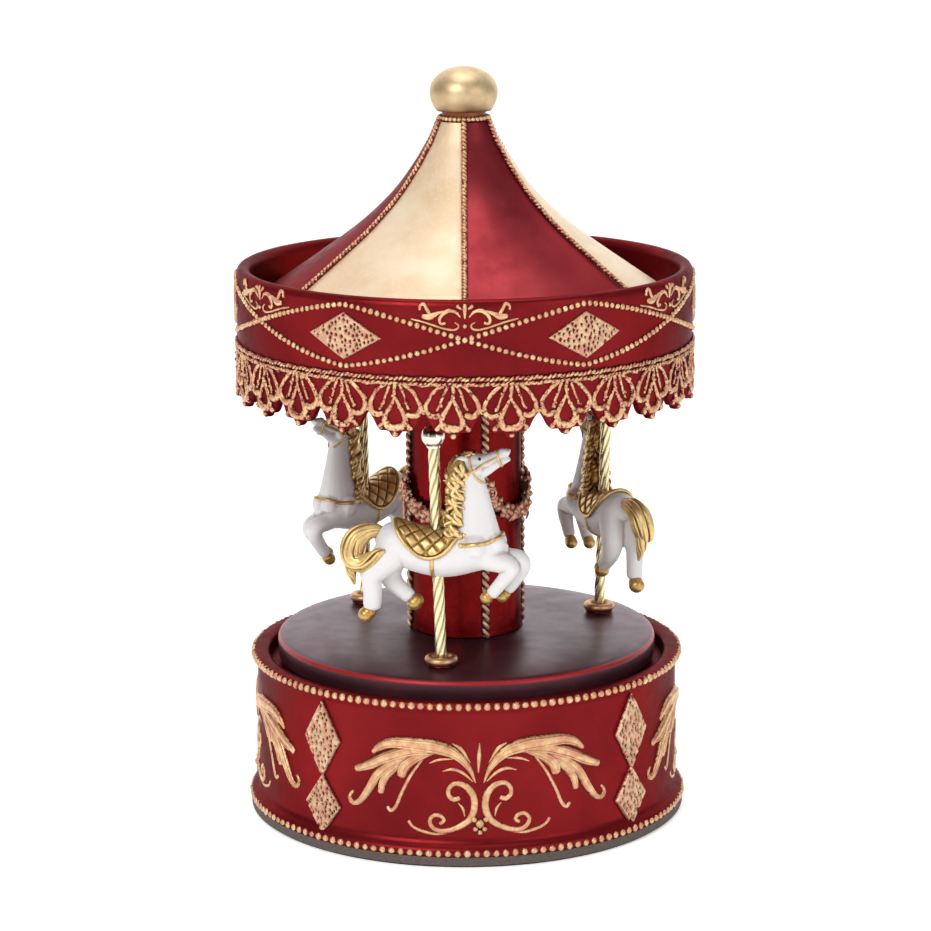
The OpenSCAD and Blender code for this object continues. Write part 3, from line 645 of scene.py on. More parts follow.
def build_base(mats):
    shell = Heap()
    lathe(shell, base_wall_profile(), 360)
    lathe(shell, [(WALL_R - 3, 34), (20, 34), (4.1, 34), (4.1, 31.6), (30, 31.6), (44, 31.6), (44, 12),
            (44, PLATE_TOP + 0.02),
                  (BASE_R - 0.3, PLATE_TOP + 0.02)], 180)
    shell.mesh("base_drum", mats["red"], "base", ("base_shell",), "base_red", crease=50)
    beads = Heap()
    bead_row(beads, 36.25, WALL_R + 0.65, 0.82, 3, 0.4)
    bead_row(beads, 3.15, BASE_R - 0.35, 0.78, 4)
    beads.mesh("base_bead_rows", mats["beads"], "base", slot="gold_paint")
    scrolls, lozenges = Heap(), Heap()
    for k in range(4):
        acanthus(scrolls, SCROLL_AZ + 90 * k)
        az = SCROLL_AZ + 45.5 + 90 * k
        pitted_diamond(lozenges, az, WALL_R, 25.6, 5.3, 8.9, 1.15, 48, 10 + k)
        pitted_diamond(lozenges, az, WALL_R + 0.1, 10.4, 5.2, 7.1, 1.1, 42, 20 + k)
    scrolls.mesh("base_acanthus_scrolls", mats["relief"], "base", slot="gold_paint")
    lozenges.mesh("base_lozenges", mats["pits"], "base", slot="gold_paint")


# ---------------------------------------------------------------- deck, poles, column


def build_deck(mats):
    heap = Heap()
    lathe(heap, [(4.1, 35.2), (DECK_R - 0.7, 35.2), (DECK_R - 0.15, 35.7), (DECK_R, DECK_Z - 2.2),
            (DECK_R - 0.03, DECK_Z - 1.6),
                 (DECK_R - 0.22, DECK_Z - 1.15), (DECK_R - 0.6, DECK_Z - 0.88), (DECK_R - 2, DECK_Z - 0.62),
                 (DECK_R - 6.9, DECK_Z), (28, DECK_Z), (18, DECK_Z), (13.6, DECK_Z), (12.9, DECK_Z + 0.28),
                 (4.1, DECK_Z + 0.3)], 360)
    heap.mesh("turning_deck", mats["deck"], "carousel", ("deck",), "deck_maroon", crease=40)


def twisted_rod(heap, r, z0, z1, lobes, pitch, depth):
    """A rod with grooves that wind up it."""
    sides = 60
    rows = int((z1 - z0) / 0.25)
    z = np.linspace(z0, z1, rows)[:, None]
    a = (np.arange(sides) * 2 * math.pi / sides)[None]
    groove = abs(np.sin(lobes / 2 * (a - 2 * math.pi * z / pitch)))
    rr = r * (1 - depth + depth * groove**0.7)
    v = np.stack(np.broadcast_arrays(rr * np.cos(a), rr * np.sin(a), z), -1)
    heap.add(v, grid_faces(rows, sides), high=groove.ravel())


def planted(heap, pole, lean=True, sink=0.0):
    """A copy of something built round a pole standing at the origin, set in that pole's place."""
    az, r, (axis, tilt), _ = pole
    foot = np.array([0, 0, FOOT_Z])
    leant = np.array(Matrix.Rotation(math.radians(tilt if lean else 0), 3, axis)).T
    turned = np.array(Matrix.Rotation(math.radians(az), 3, "Z")).T
    new = Heap()
    new.v = [((v - foot - [0, 0, sink]) @ leant + foot) @ turned + polar(az, r) for v in heap.v]
    new.q, new.t, new.h, new.n = heap.q, heap.t, heap.h, heap.n
    return new


def build_poles(mats):
    rod, collar, ball = Heap(), Heap(), Heap()
    lo, hi = box_mm("pole_3")[0][2], box_mm("pole_3")[1][2]
    twisted_rod(rod, 1.25, lo, hi, 5, 19, 0.14)
    c0, c1 = box_mm("pole_collar_3")[0][2], box_mm("pole_collar_3")[1][2]
    turn = np.radians(np.linspace(-90, 215, 22))
    ring = [(2.72 + 0.93 * math.cos(t), c1 - 0.95 + 0.93 * math.sin(t)) for t in turn]
    lathe(collar, [(1.27, c0 + 0.25), (2.6, c0 + 0.25)] + ring + [(1.6, c1 - 0.9), (1.27, c1 - 0.75)], 64,
            mat=0)
    lathe(collar, [(1.27, c0), (3.05, c0), (3.1, c0 + 0.1), (3.02, c0 + 0.3), (2.6, c0 + 0.4)], 64, mat=1)
    top, r = box_mm("pole_ball_3")[1][2], 2.6
    lathe(ball, [(1.3, top - r - 2.45), (1.5, top - r - 2.5)] + [(r * math.cos(t),
            top - r + r * math.sin(t)) for t in np.radians(np.linspace(-54, 90, 28))], 64)
    for i, pole in enumerate(POLES, 1):
        planted(rod, pole).mesh(f"pole_twisted_{i}", mats["pole"], "carousel", (f"pole_{i}",), "pole_gold",
                crease=45)
        planted(ball, pole).mesh(f"pole_top_ball_{i}", mats["pearl"], "carousel", (f"pole_ball_{i}",),
                "pearl_silver", crease=45)
        planted(collar, pole, lean=False).mesh(f"pole_foot_ring_{i}", [mats["collar"], mats["red"]],
                "carousel",
                                               (f"pole_collar_{i}",), "gold_paint", crease=45)


def two_strand_rope(heap, path, up, r, pitch, width=0.58):
    """A twisted rope of round strands along a path."""
    p = path
    t = unit(np.gradient(p, axis=0))
    side = unit(np.cross(t, up))
    nrm = np.cross(side, t)
    run = np.r_[0, np.cumsum(np.linalg.norm(np.diff(p, axis=0), axis=1))]
    for k in (0, 0.5):
        a = (2 * math.pi * (run / pitch + k))[:, None]
        out = np.sin(a)
        q = p + r * 0.5 * (np.cos(a) * side + out * nrm)
        tube(heap, q, r * width, nrm, 8, high=(0.55 + 0.45 * out).ravel())


def build_column(mats):
    z0, z1 = COLUMN_Z
    body = Heap()
    lathe(body, [(COLUMN_R - 0.2, z0), (COLUMN_R + 0.0, z0 + 0.3), (COLUMN_R - 0.1, z0 + 1.0),
            (COLUMN_R - 0.25, z0 + 1.6),
                 (COLUMN_R - 0.25, (z0 + z1) / 2), (COLUMN_R - 0.1, z1)], 240)
    body.mesh("centre_column", mats["column_red"], "carousel", ("column",), "column_red", crease=40)
    ropes = Heap()
    z = np.linspace(z0 + 0.2, z1 - 0.2, 420)
    for az in ROPE_AZ:
        two_strand_rope(ropes, polar(az, COLUMN_R - 0.02, z), polar(az, 1.0), 0.95, 3.8, width=0.5)
    ropes.mesh("column_twist_cords", mats["cord"], "carousel", ("column_ropes",), "gold_paint")
    garland = Heap()
    rng = random.Random(5)
    for az, following in zip(ROPE_AZ, ROPE_AZ[1:] + [ROPE_AZ[0] + 360]):
        swag(garland, az, following - az, rng)
    garland.mesh("flower_garland", mats["petals"], "carousel", ("column_garland",), "gold_paint")


def leaf(heap, centre, out, along, length, width, rng):
    """One small pointed petal or leaf, cupped, lying off the surface."""
    s = np.linspace(0, 1, 7)
    p = centre + np.outer(s - 0.4, along) * length + np.outer(0.5 * np.sin(s * math.pi),
            out) * length * 0.35
    w = width * np.sin(math.pi * (0.08 + 0.88 * s)) + 0.05
    tube(heap, p, w, out, 7, height=0.35 * w + 0.1, high=rng.uniform(0.45, 1.0))


def flower(heap, centre, out, size, rng):
    a = unit(np.cross(out, [0.1, 0.2, 1]))
    b = np.cross(out, a)
    phase = rng.uniform(0, 6)
    for k in range(5):
        d = math.cos(phase + k * 1.257) * a + math.sin(phase + k * 1.257) * b
        leaf(heap, centre + d * size * 0.42, out, d, size * 0.8, size * 0.36, rng)
    balls(heap, [centre + out * size * 0.3], size * 0.26, [out], high=0.9)


def spray(heap, az, z, rng, spread=1.2, big=1.0):
    """A pinch of flowers and leaves on the column."""
    for _ in range(3):
        p = polar(az + rng.uniform(-3, 3) * spread, COLUMN_R + rng.uniform(0.5, 1.0),
                z + rng.uniform(-1, 1) * spread)
        out = unit(p * [1, 1, 0])
        tangent = np.cross([0, 0, 1], out)
        along = unit(tangent * rng.choice([-1, 1]) + np.array([0, 0, rng.uniform(-1, 1)]))
        leaf(heap, p, out, along, rng.uniform(2.8, 3.8) * big, 0.85 * big, rng)
    p = polar(az, COLUMN_R + 1.1, z + rng.uniform(-0.5, 0.5))
    flower(heap, p, unit(p * [1, 1, 0]), rng.uniform(2.1, 2.6) * big, rng)


def swag(heap, az, span, rng):
    """Flowers bunched at a cord with a tassel under them, and a swag hanging from there to the next cord."""
    for s in np.linspace(0, 1, round(span / 9)):
        spray(heap, az + span * s, GARLAND_Z - GARLAND_SAG * s * (1 - s), rng, 0.7)
    for k in range(3):
        spray(heap, az + rng.uniform(-4, 4), 76.2 - 1.3 * k, rng, 0.8, 1.1)
    for k in range(8):
        p = polar(az + rng.uniform(-3, 3), COLUMN_R + 1.0, 72.6 - 0.7 * k)
        out = unit(p * [1, 1, 0])
        leaf(heap, p, out, unit(np.array([0, 0, -1.0]) + np.cross([0, 0, 1], out) * rng.uniform(-0.4, 0.4)),
                2.8, 0.6, rng)
    hoop, up = wrap([(0.5 + 1.15 * math.cos(a), 75.6 + 1.15 * math.sin(a))
            for a in np.arange(20) * math.pi / 10], az, COLUMN_R, 1.9)
    tube(heap, hoop, 0.3, up, 8, closed=True)


# ---------------------------------------------------------------- canopy

LACE_FULL = [  # strokes that are whole: the hanging drop, its rib and the top of the fan
    [(0.0, 104.9, 0.3), (-1.0, 102.9, 0.38), (-2.0, 101.0, 0.55), (-2.3, 99.8, 0.62), (-1.5, 98.6, 0.68),
    (0.0, 98.2, 0.7),
     (1.5, 98.6, 0.68), (2.3, 99.8, 0.62), (2.0, 101.0, 0.55), (1.0, 102.9, 0.38), (0.0, 104.9, 0.3)],
    [(0.0, 104.8, 0.34), (0.05, 106.2, 0.32), (0.0, 107.8, 0.42)],
]
LACE_HALF = [  # strokes that are mirrored
    [(-1.9, 107.8, 0.4), (-3.9, 106.2, 0.4), (-5.4, 104.0, 0.45), (-5.7, 102.6, 0.52), (-5.0, 101.3, 0.58),
    (-3.8, 100.9, 0.58),
     (-2.6, 101.3, 0.5)],
    [(-1.0, 107.8, 0.34), (-1.8, 105.6, 0.26), (-2.6, 103.6, 0.26), (-3.1, 102.4, 0.28)],
    [(-5.6, 102.4, 0.45), (-6.3, 101.9, 0.5)],
    [(-2.1, 99.6, 0.35), (-3.1, 98.6, 0.4)],
    [(-1.9, 107.6, 0.35), (-4.0, 107.9, 0.3), (-6.2, 107.6, 0.3)],
]
PICOTS = [(-3.3, 98.3, 0.78), (3.3, 98.3, 0.78), (0.0, 96.85, 0.8)]
SKIRT_R = 51.35


def skirt_edge(u):
    """Height of the valance's scalloped lower edge, at u along a motif from its middle."""
    pitch = 2 * math.pi * SKIRT_R / SCALLOPS
    a = abs((u + pitch / 2) % pitch - pitch / 2)
    z = np.interp(a, [0, 0.6, 1.5, 2.4, 3.3, 4.1, 4.9, 5.7, pitch / 2],
            [96.1, 96.25, 97.5, 97.55, 97.5, 98.3, 99.9, 101.0, 101.5])
    return np.maximum(z, LACE_Z + 0.02)


def build_skirt():
    cols = SCALLOPS * 44
    u = np.arange(cols) / cols * 2 * math.pi * SKIRT_R
    low = skirt_edge(u)[None]
    az = (LACE_OFFSET + np.degrees(u / SKIRT_R))[None]
    rows = []
    for f in np.linspace(1, 0, 9):
        rows.append((SKIRT_R, low + (SKIRT_TOP_Z - low) * f))
    for t in np.linspace(20, 160, 6):
        a = math.radians(t)
        rows.append((SKIRT_R - 0.9 + 0.9 * math.cos(a), low + 0.35 - 0.35 * math.sin(a)))
    for f in np.linspace(0, 1, 5):
        rows.append((SKIRT_R - 1.8, low + 0.35 + (SKIRT_TOP_Z - low) * f))
    v = np.stack([polar(az[0], r, z[0]) for r, z in rows])
    heap = Heap()
    heap.add(v, grid_faces(len(rows), cols)[:, ::-1])
    return heap


def lace_motif(heap, az, rng):
    def noisy(line):
        return [(u + rng.uniform(-0.16, 0.16), z + rng.uniform(-0.14, 0.14), w * rng.uniform(1.1, 1.45))
                for u, z, w in line]

    for line in LACE_FULL:
        line = noisy(line)
        if line[0][0] == line[-1][0]:
            line[-1] = line[0]
        stroke(heap, line, az, SKIRT_R, samples=40 if len(line) > 4 else 10, depth=0.64, sides=8)
    for mirror in (1, -1):
        for line in LACE_HALF:
            stroke(heap, noisy(line), az, SKIRT_R, mirror, samples=22 if len(line) > 3 else 9, depth=0.7,
                    sides=8)
    for u, z, r in PICOTS:
        p, _ = wrap([(u + rng.uniform(-0.1, 0.1), z + rng.uniform(-0.05, 0.1))], az, SKIRT_R, 0.0)
        balls(heap, p, r * rng.uniform(0.8, 0.93), jitter=0.12, seed=rng.randrange(9999))
    for _ in range(48):
        line = rng.choice(LACE_FULL + LACE_HALF)
        u, z, w = line[rng.randrange(len(line))]
        p, _ = wrap([(rng.choice([-1, 1]) * u + rng.uniform(-0.3, 0.3), z + rng.uniform(-0.3, 0.3))], az,
                SKIRT_R, 0.25)
        balls(heap, p, rng.uniform(0.2, 0.42), jitter=0.3, seed=rng.randrange(9999))


def build_lace(mats):
    heap = Heap()
    rng = random.Random(11)
    for k in range(SCALLOPS):
        lace_motif(heap, LACE_OFFSET + k * 360 / SCALLOPS, rng)
    az = np.linspace(0, 360, 1500)
    wave = 0.25 * np.sin(np.radians(az) * SCALLOPS * 3)
    for z, phase, r in ((109.0, 0.0, 0.5), (107.9, 1.5, 0.46)):
        path = polar(az, SKIRT_R + 0.12, z + wave * (1 if phase else -1) * 0.5)
        two_strand_rope(heap, path, polar(az, 1.0), r, 2.1)
    heap.mesh("lace_valance", mats["lace"], "carousel", slot="gold_paint")


CARTOUCHE = [  # right half of the little scroll over each crossing, as (u, z, half width)
    [(0.9, 122.3, 0.15), (1.9, 123.4, 0.35), (3.3, 123.7, 0.48), (4.5, 123.1, 0.5), (5.3, 121.9, 0.4),
    (5.0, 120.9, 0.35),
     (4.1, 121.1, 0.35)],
    [(3.8, 123.7, 0.2), (5.8, 123.1, 0.45), (7.4, 122.4, 0.8), (8.9, 122.5, 0.6)],
    [(7.2, 122.6, 0.5), (8.0, 124.0, 0.4), (8.6, 125.0, 0.38), (9.4, 124.7, 0.35), (9.5, 123.8, 0.3)],
    [(2.1, 121.2, 0.15), (1.3, 120.6, 0.22), (1.6, 119.9, 0.26), (2.7, 119.6, 0.26), (5.1, 120.1, 0.26),
    (8.6, 121.2, 0.26),
     (11.4, 121.8, 0.2)],
    [(0.7, 124.0, 0.2), (1.6, 124.7, 0.45)],
]


def cartouche(heap, az):
    for mirror in (1, -1):
        for line in CARTOUCHE:
            stroke(heap, line, az, BAND_R, mirror, samples=30, depth=0.8, sides=8)
    stroke(heap, [(0, 125.0, 0.4), (0, 124.0, 0.5), (0, 122.0, 0.2)], az, BAND_R, depth=0.8)
    p, _ = wrap([(0, 120.4), (0, 124.4)], az, BAND_R, 0.1)
    balls(heap, p, [0.5, 0.5])


def band_curves(heap):
    """Two beaded waves that cross at each seam and pass over and under the lozenges between."""
    az = np.linspace(0, 360, 4000)
    swing = np.sin(np.radians(az) * 3)
    straight = np.arcsin(swing) * 2 / math.pi
    wave = WAVE_RISE * (0.4 * swing + 0.6 * straight)
    for sign in (1, -1):
        z = WAVE_Z + sign * wave
        run = np.r_[0, np.cumsum(np.hypot(np.diff(np.radians(az)) * BAND_R, np.diff(z)))]
        count = int(run[-1] / 1.5)
        at = np.interp(np.arange(count) / count * run[-1], run, az)
        zz = np.interp(at, az, z)
        balls(heap, polar(at, BAND_R + 0.05, zz), 0.62, jitter=0.12, seed=6 + sign)


def build_canopy(mats):
    b = BAND_R
    band = Heap()
    lathe(band, [(b - 3.1, 106.5), (b - 1.5, 106.5), (b - 0.3, 108.6), (b, 109.6), (b, 116), (b, 122.5),
            (b + 0.02, 124.2), (b - 0.05, 124.9),
                 (b - 0.4, 125.5), (b - 0.9, CANOPY_Z), (b - 1.7, CANOPY_Z - 0.02),
                 (b - 2.5, CANOPY_Z - 0.35),
                 (b - 2.95, CANOPY_Z - 1.0), (b - 3.1, CANOPY_Z - 2), (b - 3.1, 117)], 384)
    lathe(band, [(b - 3.1, 117), (b - 3.1, 112), (b - 3.1, 106.5)], 384)
    skirt = build_skirt()
    band.add(np.vstack(skirt.v), skirt.q[0][:, :4])
    band.mesh("canopy_band_and_skirt", mats["red"], "carousel", ("canopy_band",), "base_red", crease=60)
    build_lace(mats)
    beads, scrolls, lozenges = Heap(), Heap(), Heap()
    band_curves(beads)
    beads.mesh("canopy_bead_waves", mats["beads"], "carousel", slot="gold_paint")
    for i, az in enumerate(SEAM_AZ):
        cartouche(scrolls, az)
        pitted_diamond(lozenges, az + 30, b, 117.3, 9.1, 5.2, 0.85, 54, 40 + i)
    scrolls.mesh("canopy_scrolls", mats["relief"], "carousel", slot="gold_paint")
    lozenges.mesh("canopy_lozenges", mats["pits"], "carousel", slot="gold_paint")


ROOF = [(6.2, 158.0), (6.8, 156.6), (8.3, 153.4), (9.7, 151.2), (11.1, 149.0), (12.75, 146.7),
        (14.4, 144.5), (16.25, 142.25),
        (18.4, 140.0), (20.75, 137.75), (23.35, 135.45), (26.2, 133.15), (31.2, 129.5), (36.4, 125.8),
        (42.8, 121.3), (47.3, 118.05)]


def build_roof(mats):
    heap = Heap()
    profile = spline(ROOF, 70)
    seg = 360
    az = np.arange(seg) * 360 / seg
    sag = -0.35 * np.sin(np.radians(az) * 3)[None, :] ** 2 * np.sin(np.linspace(0, math.pi,
            len(profile)))[:, None]
    v = polar(az[None], profile[:, :1] + sag, profile[:, 1:2] + sag * 0.5)
    faces = grid_faces(len(profile), seg)[:, ::-1]
    panel = ((faces[:, 1] % seg) // 60) % 2
    heap.add(v, faces[panel == 0], mat=1)
    heap.add(v, faces[panel == 1], mat=0)
    lathe(heap, [(0.5, 158.0), (6.2, 158.0)][::-1], 90, mat=1)
    heap.mesh("roof_panels", [mats["champagne"], mats["roof_red"]], "carousel", ("roof_cone",),
            "roof_panels")
    cords = Heap()
    line = spline(ROOF, 420)[:-8]
    for a in SEAM_AZ:
        path = polar(a, line[:, 0] + 0.15, line[:, 1] + 0.25)
        two_strand_rope(cords, path, polar(a, 0.7) + [0, 0, 0.7], 0.62, 1.9)
    cords.mesh("roof_seam_braids", mats["lace"], "carousel", ("roof_seam_cords",), "gold_paint")
    ring = Heap()
    r0 = radius_of("roof_bead_ring") - 0.62
    balls(ring, polar(np.arange(34) * 360 / 34, r0, ROOF_TOP_Z + 0.62), 0.6, jitter=0.1, seed=8)
    ring.mesh("finial_bead_ring", mats["beads"], "carousel", ("roof_bead_ring",), "gold_paint")


def build_finial(mats):
    heap = Heap()
    mid = TOP_Z - 5.5
    arc = []
    for a in np.radians(np.arange(-36, 89, 4)):
        half_height = TOP_Z - mid if a > 0 else 7.3
        arc.append((FINIAL_R * math.cos(a), mid + half_height * math.sin(a)))
    lathe(heap, [(4.9, ROOF_TOP_Z + 0.05), (4.9, TOP_Z - 9.9), (5.7, TOP_Z - 9.85)] + arc + [(0.02, TOP_Z)],
            144)
    heap.mesh("finial_knob", mats["finial"], "carousel", ("finial_ball",), "brushed_gold", crease=50)


# ---------------------------------------------------------------- horses
# Built facing +X with the pole at the origin, at their real height, then turned to their places.

TRUNK = [(-13.0, 69.6, 1.8, 1.9), (-11.6, 69.6, 3.4, 3.8), (-9.5, 69.2, 4.4, 4.9), (-6.5, 68.3, 4.6, 4.9),
        (-3.0, 67.2, 4.5, 5.0),
         (1.3, 66.6, 4.6, 5.1), (4.5, 66.9, 4.6, 5.0), (8.0, 67.6, 4.8, 4.8), (11.5, 68.0, 4.2, 4.5),
         (14.0, 68.2, 2.8, 3.2),
         (15.2, 68.5, 1.2, 1.5)]  # x, z, half width, half height
NECK = [(9.2, 69.5, 5.2, 3.9), (8.8, 72.6, 5.0, 3.4), (8.7, 75.0, 4.5, 2.9), (8.5, 77.5, 4.0, 2.5),
        (8.3, 80.0, 3.6, 2.2),
        (8.0, 82.5, 3.2, 2.0), (8.1, 84.8, 2.7, 1.9)]
HEAD = [(7.3, 87.3, 1.8, 1.5), (9.3, 87.2, 2.05, 1.75), (11.4, 87.6, 1.55, 1.45), (13.4, 88.5, 1.15, 1.1),
        (15.2, 89.35, 1.05, 0.95),
        (16.6, 89.6, 0.7, 0.8)]
JAW = [(8.9, 85.4, 2.4, 1.8), (11.1, 85.35, 1.45, 1.1), (13.2, 86.4, 0.98, 0.85), (15.0, 87.3, 0.78, 0.7),
        (16.7, 88.0, 0.5, 0.55)]
LEGS = [  # offsets to the side, then x, z, half thickness along and across
    (-1.5, -1.7, [(9.5, 67.4, 4.0, 2.7), (12.8, 65.5, 2.5, 2.3), (15.6, 64.9, 2.05, 2.1),
    (16.6, 63.7, 1.85, 1.9), (15.4, 62.0, 1.65, 1.7),
                  (13.9, 60.2, 1.5, 1.55), (12.7, 58.8, 1.45, 1.45), (12.0, 57.9, 1.4, 1.4)]),
    (1.5, 1.7, [(10.0, 67.6, 3.8, 2.7), (14.4, 65.8, 2.25, 2.2), (17.4, 65.4, 1.95, 2.1),
    (18.6, 64.4, 1.85, 1.9), (18.2, 62.6, 1.75, 1.75),
                (17.0, 60.9, 1.6, 1.6), (15.9, 59.3, 1.5, 1.5), (15.0, 58.3, 1.4, 1.4)]),
    (-1.5, -2.2, [(-8.2, 69.6, 4.2, 3.0), (-10.4, 66.6, 3.9, 3.0), (-12.7, 64.2, 3.2, 2.7),
    (-14.2, 62.2, 2.6, 2.4), (-14.4, 60.4, 2.25, 2.1),
                  (-14.35, 58.0, 2.1, 1.9), (-14.5, 56.0, 2.1, 1.85), (-14.6, 54.9, 1.9, 1.75)]),
    (1.5, 2.2, [(-8.2, 69.2, 4.2, 3.0), (-10.2, 65.6, 3.6, 2.8), (-11.2, 62.8, 3.0, 2.5),
    (-10.8, 60.2, 2.4, 2.1), (-9.2, 58.3, 1.95, 1.85),
                (-7.6, 56.9, 1.75, 1.7), (-6.9, 56.2, 1.65, 1.6)]),
]
HOOVES = [(-1.7, 10.9, 57.2, 1.45), (1.7, 13.8, 56.8, 1.5), (-2.2, -16.0, 53.3, 1.8),
        (2.2, -5.9, 54.9, 1.75)]
TAIL = [(-11.9, 0.0, 71.3, 1.0), (-13.6, -0.2, 71.8, 1.5), (-15.8, -0.8, 71.6, 2.1),
        (-17.8, -1.4, 70.2, 2.6), (-18.8, -1.8, 67.8, 2.75),
        (-18.4, -2.4, 65.9, 2.4), (-16.4, -3.2, 65.2, 1.9), (-14.2, -3.9, 66.3, 1.55),
        (-12.4, -4.4, 67.7, 1.1), (-10.8, -4.6, 68.3, 0.4)]
TAIL_FORK = [(-18.9, -1.8, 66.8, 1.7), (-19.1, -1.5, 63.2, 1.3), (-18.6, -1.3, 59.9, 0.3)]
CREST = [(6.0, 88.4), (4.7, 86.8), (4.2, 84.0), (4.6, 81.5), (4.4, 79.0), (3.9, 76.6), (3.5, 74.6),
        (3.9, 72.9), (5.2, 71.4)]
SADDLE = dict(x=-1.7, half=7.4, girth=7.7)


def side_tube(heap, line, swing=(0, 0)):
    """A tapered limb in the plane of travel, through (x, z, half thickness in the plane, and across)."""
    s = spline(line, 26)
    across = np.interp(np.linspace(0, 1, 26), [0, 0.45, 1], [swing[0], swing[1], swing[1]])
    tube(heap, np.c_[s[:, 0], across, s[:, 1]], s[:, 2], [0, 1, 0], 18, height=s[:, 3])


def bare_mesh(heap):
    me = bpy.data.meshes.new("form")
    v = np.vstack(heap.v)
    faces = [tuple(int(i) for i in f[:4]) for q in heap.q for f in q] + [tuple(int(i) for i in f[:3])
            for t in heap.t for f in t]
    me.from_pydata([tuple(p) for p in v], [], faces)
    return me


def fuse(heap, voxel, ease):
    """One smooth closed skin round a heap of closed forms; returns its vertices and faces."""
    obj = bpy.data.objects.new("form", bare_mesh(heap))
    bpy.context.scene.collection.objects.link(obj)
    shell = obj.modifiers.new("fuse", "REMESH")
    shell.mode, shell.voxel_size = "VOXEL", voxel
    calm = obj.modifiers.new("ease", "SMOOTH")
    calm.factor, calm.iterations = 0.5, ease
    me = bpy.data.meshes.new_from_object(obj.evaluated_get(bpy.context.evaluated_depsgraph_get()))
    v = np.empty(len(me.vertices) * 3)
    me.vertices.foreach_get("co", v)
    faces = [tuple(p.vertices) for p in me.polygons]
    bpy.data.objects.remove(obj)
    return v.reshape(-1, 3), faces


def hollows(v, faces):
    """0 in the creases of a skin, 1 on its ridges, from how far each point stands off its smoothed self."""
    q = np.array([f for f in faces if len(f) == 4])
    e = np.vstack([q[:, [0, 1]], q[:, [1, 2]], q[:, [2, 3]], q[:, [3, 0]]])
    e = np.vstack([e, e[:, ::-1]])
    count = np.maximum(np.bincount(e[:, 0], minlength=len(v)), 1)
    s = v.copy()
    for _ in range(14):
        s = np.stack([np.bincount(e[:, 0], weights=s[e[:, 1], k], minlength=len(v)) / count
                for k in range(3)], 1)
    a, b = v[q[:, 2]] - v[q[:, 0]], v[q[:, 3]] - v[q[:, 1]]
    face_n = np.cross(a, b)
    n = unit(np.stack([np.bincount(q.ravel(), weights=np.repeat(face_n[:, k], 4), minlength=len(v))
            for k in range(3)], 1))
    return np.clip(0.5 + 3.2 * np.einsum("ij,ij->i", v - s, n), 0, 1)


def horse_skin():
    form = Heap()
    s = spline(TRUNK, 40)
    tube(form, np.c_[s[:, 0], 0 * s[:, 0], s[:, 1]], s[:, 2], [0, 0, 1], 24, height=s[:, 3])
    for line in (NECK, HEAD, JAW):
        side_tube(form, line)
    for near, far, line in LEGS:
        side_tube(form, line, swing=(near, far))
    for y in (-1, 1):
        balls(form, [(9.0, 2.4 * y, 68.6), (13.2, 1.3 * y, 69.4), (9.2, 1.0 * y, 85.8),
                (10.2, 1.15 * y, 88.25), (16.5, 0.55 * y, 89.7)],
              [3.1, 2.2, 1.5, 0.6, 0.5])
        ear = spline([(7.6, 1.1 * y, 88.2, 0.6), (6.4, 1.4 * y, 88.4, 0.65), (5.0, 1.5 * y, 88.2, 0.16)],
                10)
        tube(form, ear[:, :3], ear[:, 3], [0, y, 0.3], 10)
    return fuse(form, 0.24, 12)


def hug(tree, points, off=0.12):
    """Moves points onto the skin; returns them just proud of it, with the way out there."""
    out, normal = [], []
    for p in points:
        at, n, _, _ = tree.find_nearest(Vector(p))
        out.append(np.array(at) + np.array(n) * off)
        normal.append(np.array(n))
    return np.array(out), unit(np.array(normal))


def strap(heap, tree, points, half, samples, thick=0.24):
    """A flat strap laid over the skin along the points."""
    line = spline([(*p, 0) for p in points], samples)[:, :3]
    p, n = hug(tree, line)
    for _ in range(2):
        p[1:-1] = (p[:-2] + 2 * p[1:-1] + p[2:]) / 4
    tube(heap, p, half, n, 10, height=thick, high=0.85)


def horse_tack(heap, tree):
    flank = [(math.sin(math.radians(a)), math.cos(math.radians(a))) for a in range(60, 301, 8)]
    strap(heap, tree, [(-0.5 + 0.3 * c, 5 * s, 66.6 + 5 * c) for s, c in flank], 0.45, 70)
    strap(heap, tree, [(5.8, -5, 69.9), (8.6, -5.4, 70.0), (11.6, -4.2, 70.2), (14.0, -2.2, 70.8),
            (14.9, 0, 71.2), (14.0, 2.2, 70.8),
                       (11.6, 4.2, 70.2), (8.6, 5.4, 70.0), (5.8, 5, 69.9)], 0.45, 70)
    ring = [(math.cos(math.radians(a)), math.sin(math.radians(a))) for a in range(0, 361, 30)]
    strap(heap, tree, [(14.4 - 0.5 * c, 1.6 * s, 88.3 + 1.8 * c) for c, s in ring], 0.3, 40, thick=0.2)
    for y in (-1, 1):
        ring_at = (8.8, 2.3 * y, 85.6)
        for way in ([(14.2, 1.4 * y, 88.4), (11.5, 2.0 * y, 87.1)],
                [(8.1, 2.0 * y, 87.2), (7.9, 1.0 * y, 88.9), (7.8, 0, 89.4)],
                    [(9.6, 1.9 * y, 83.9), (11.0, 0.8 * y, 82.7)], [(6.2, 1.8 * y, 84.9)]):
            strap(heap, tree, [ring_at] + way if len(way) != 2 or way[0][0] < 14 else way + [ring_at], 0.27,
                    22, thick=0.18)
        p, n = hug(tree, [ring_at, (5.9, 5 * y, 69.9)], 0.1)
        balls(heap, p, [0.42, 0.6], n, high=0.9)


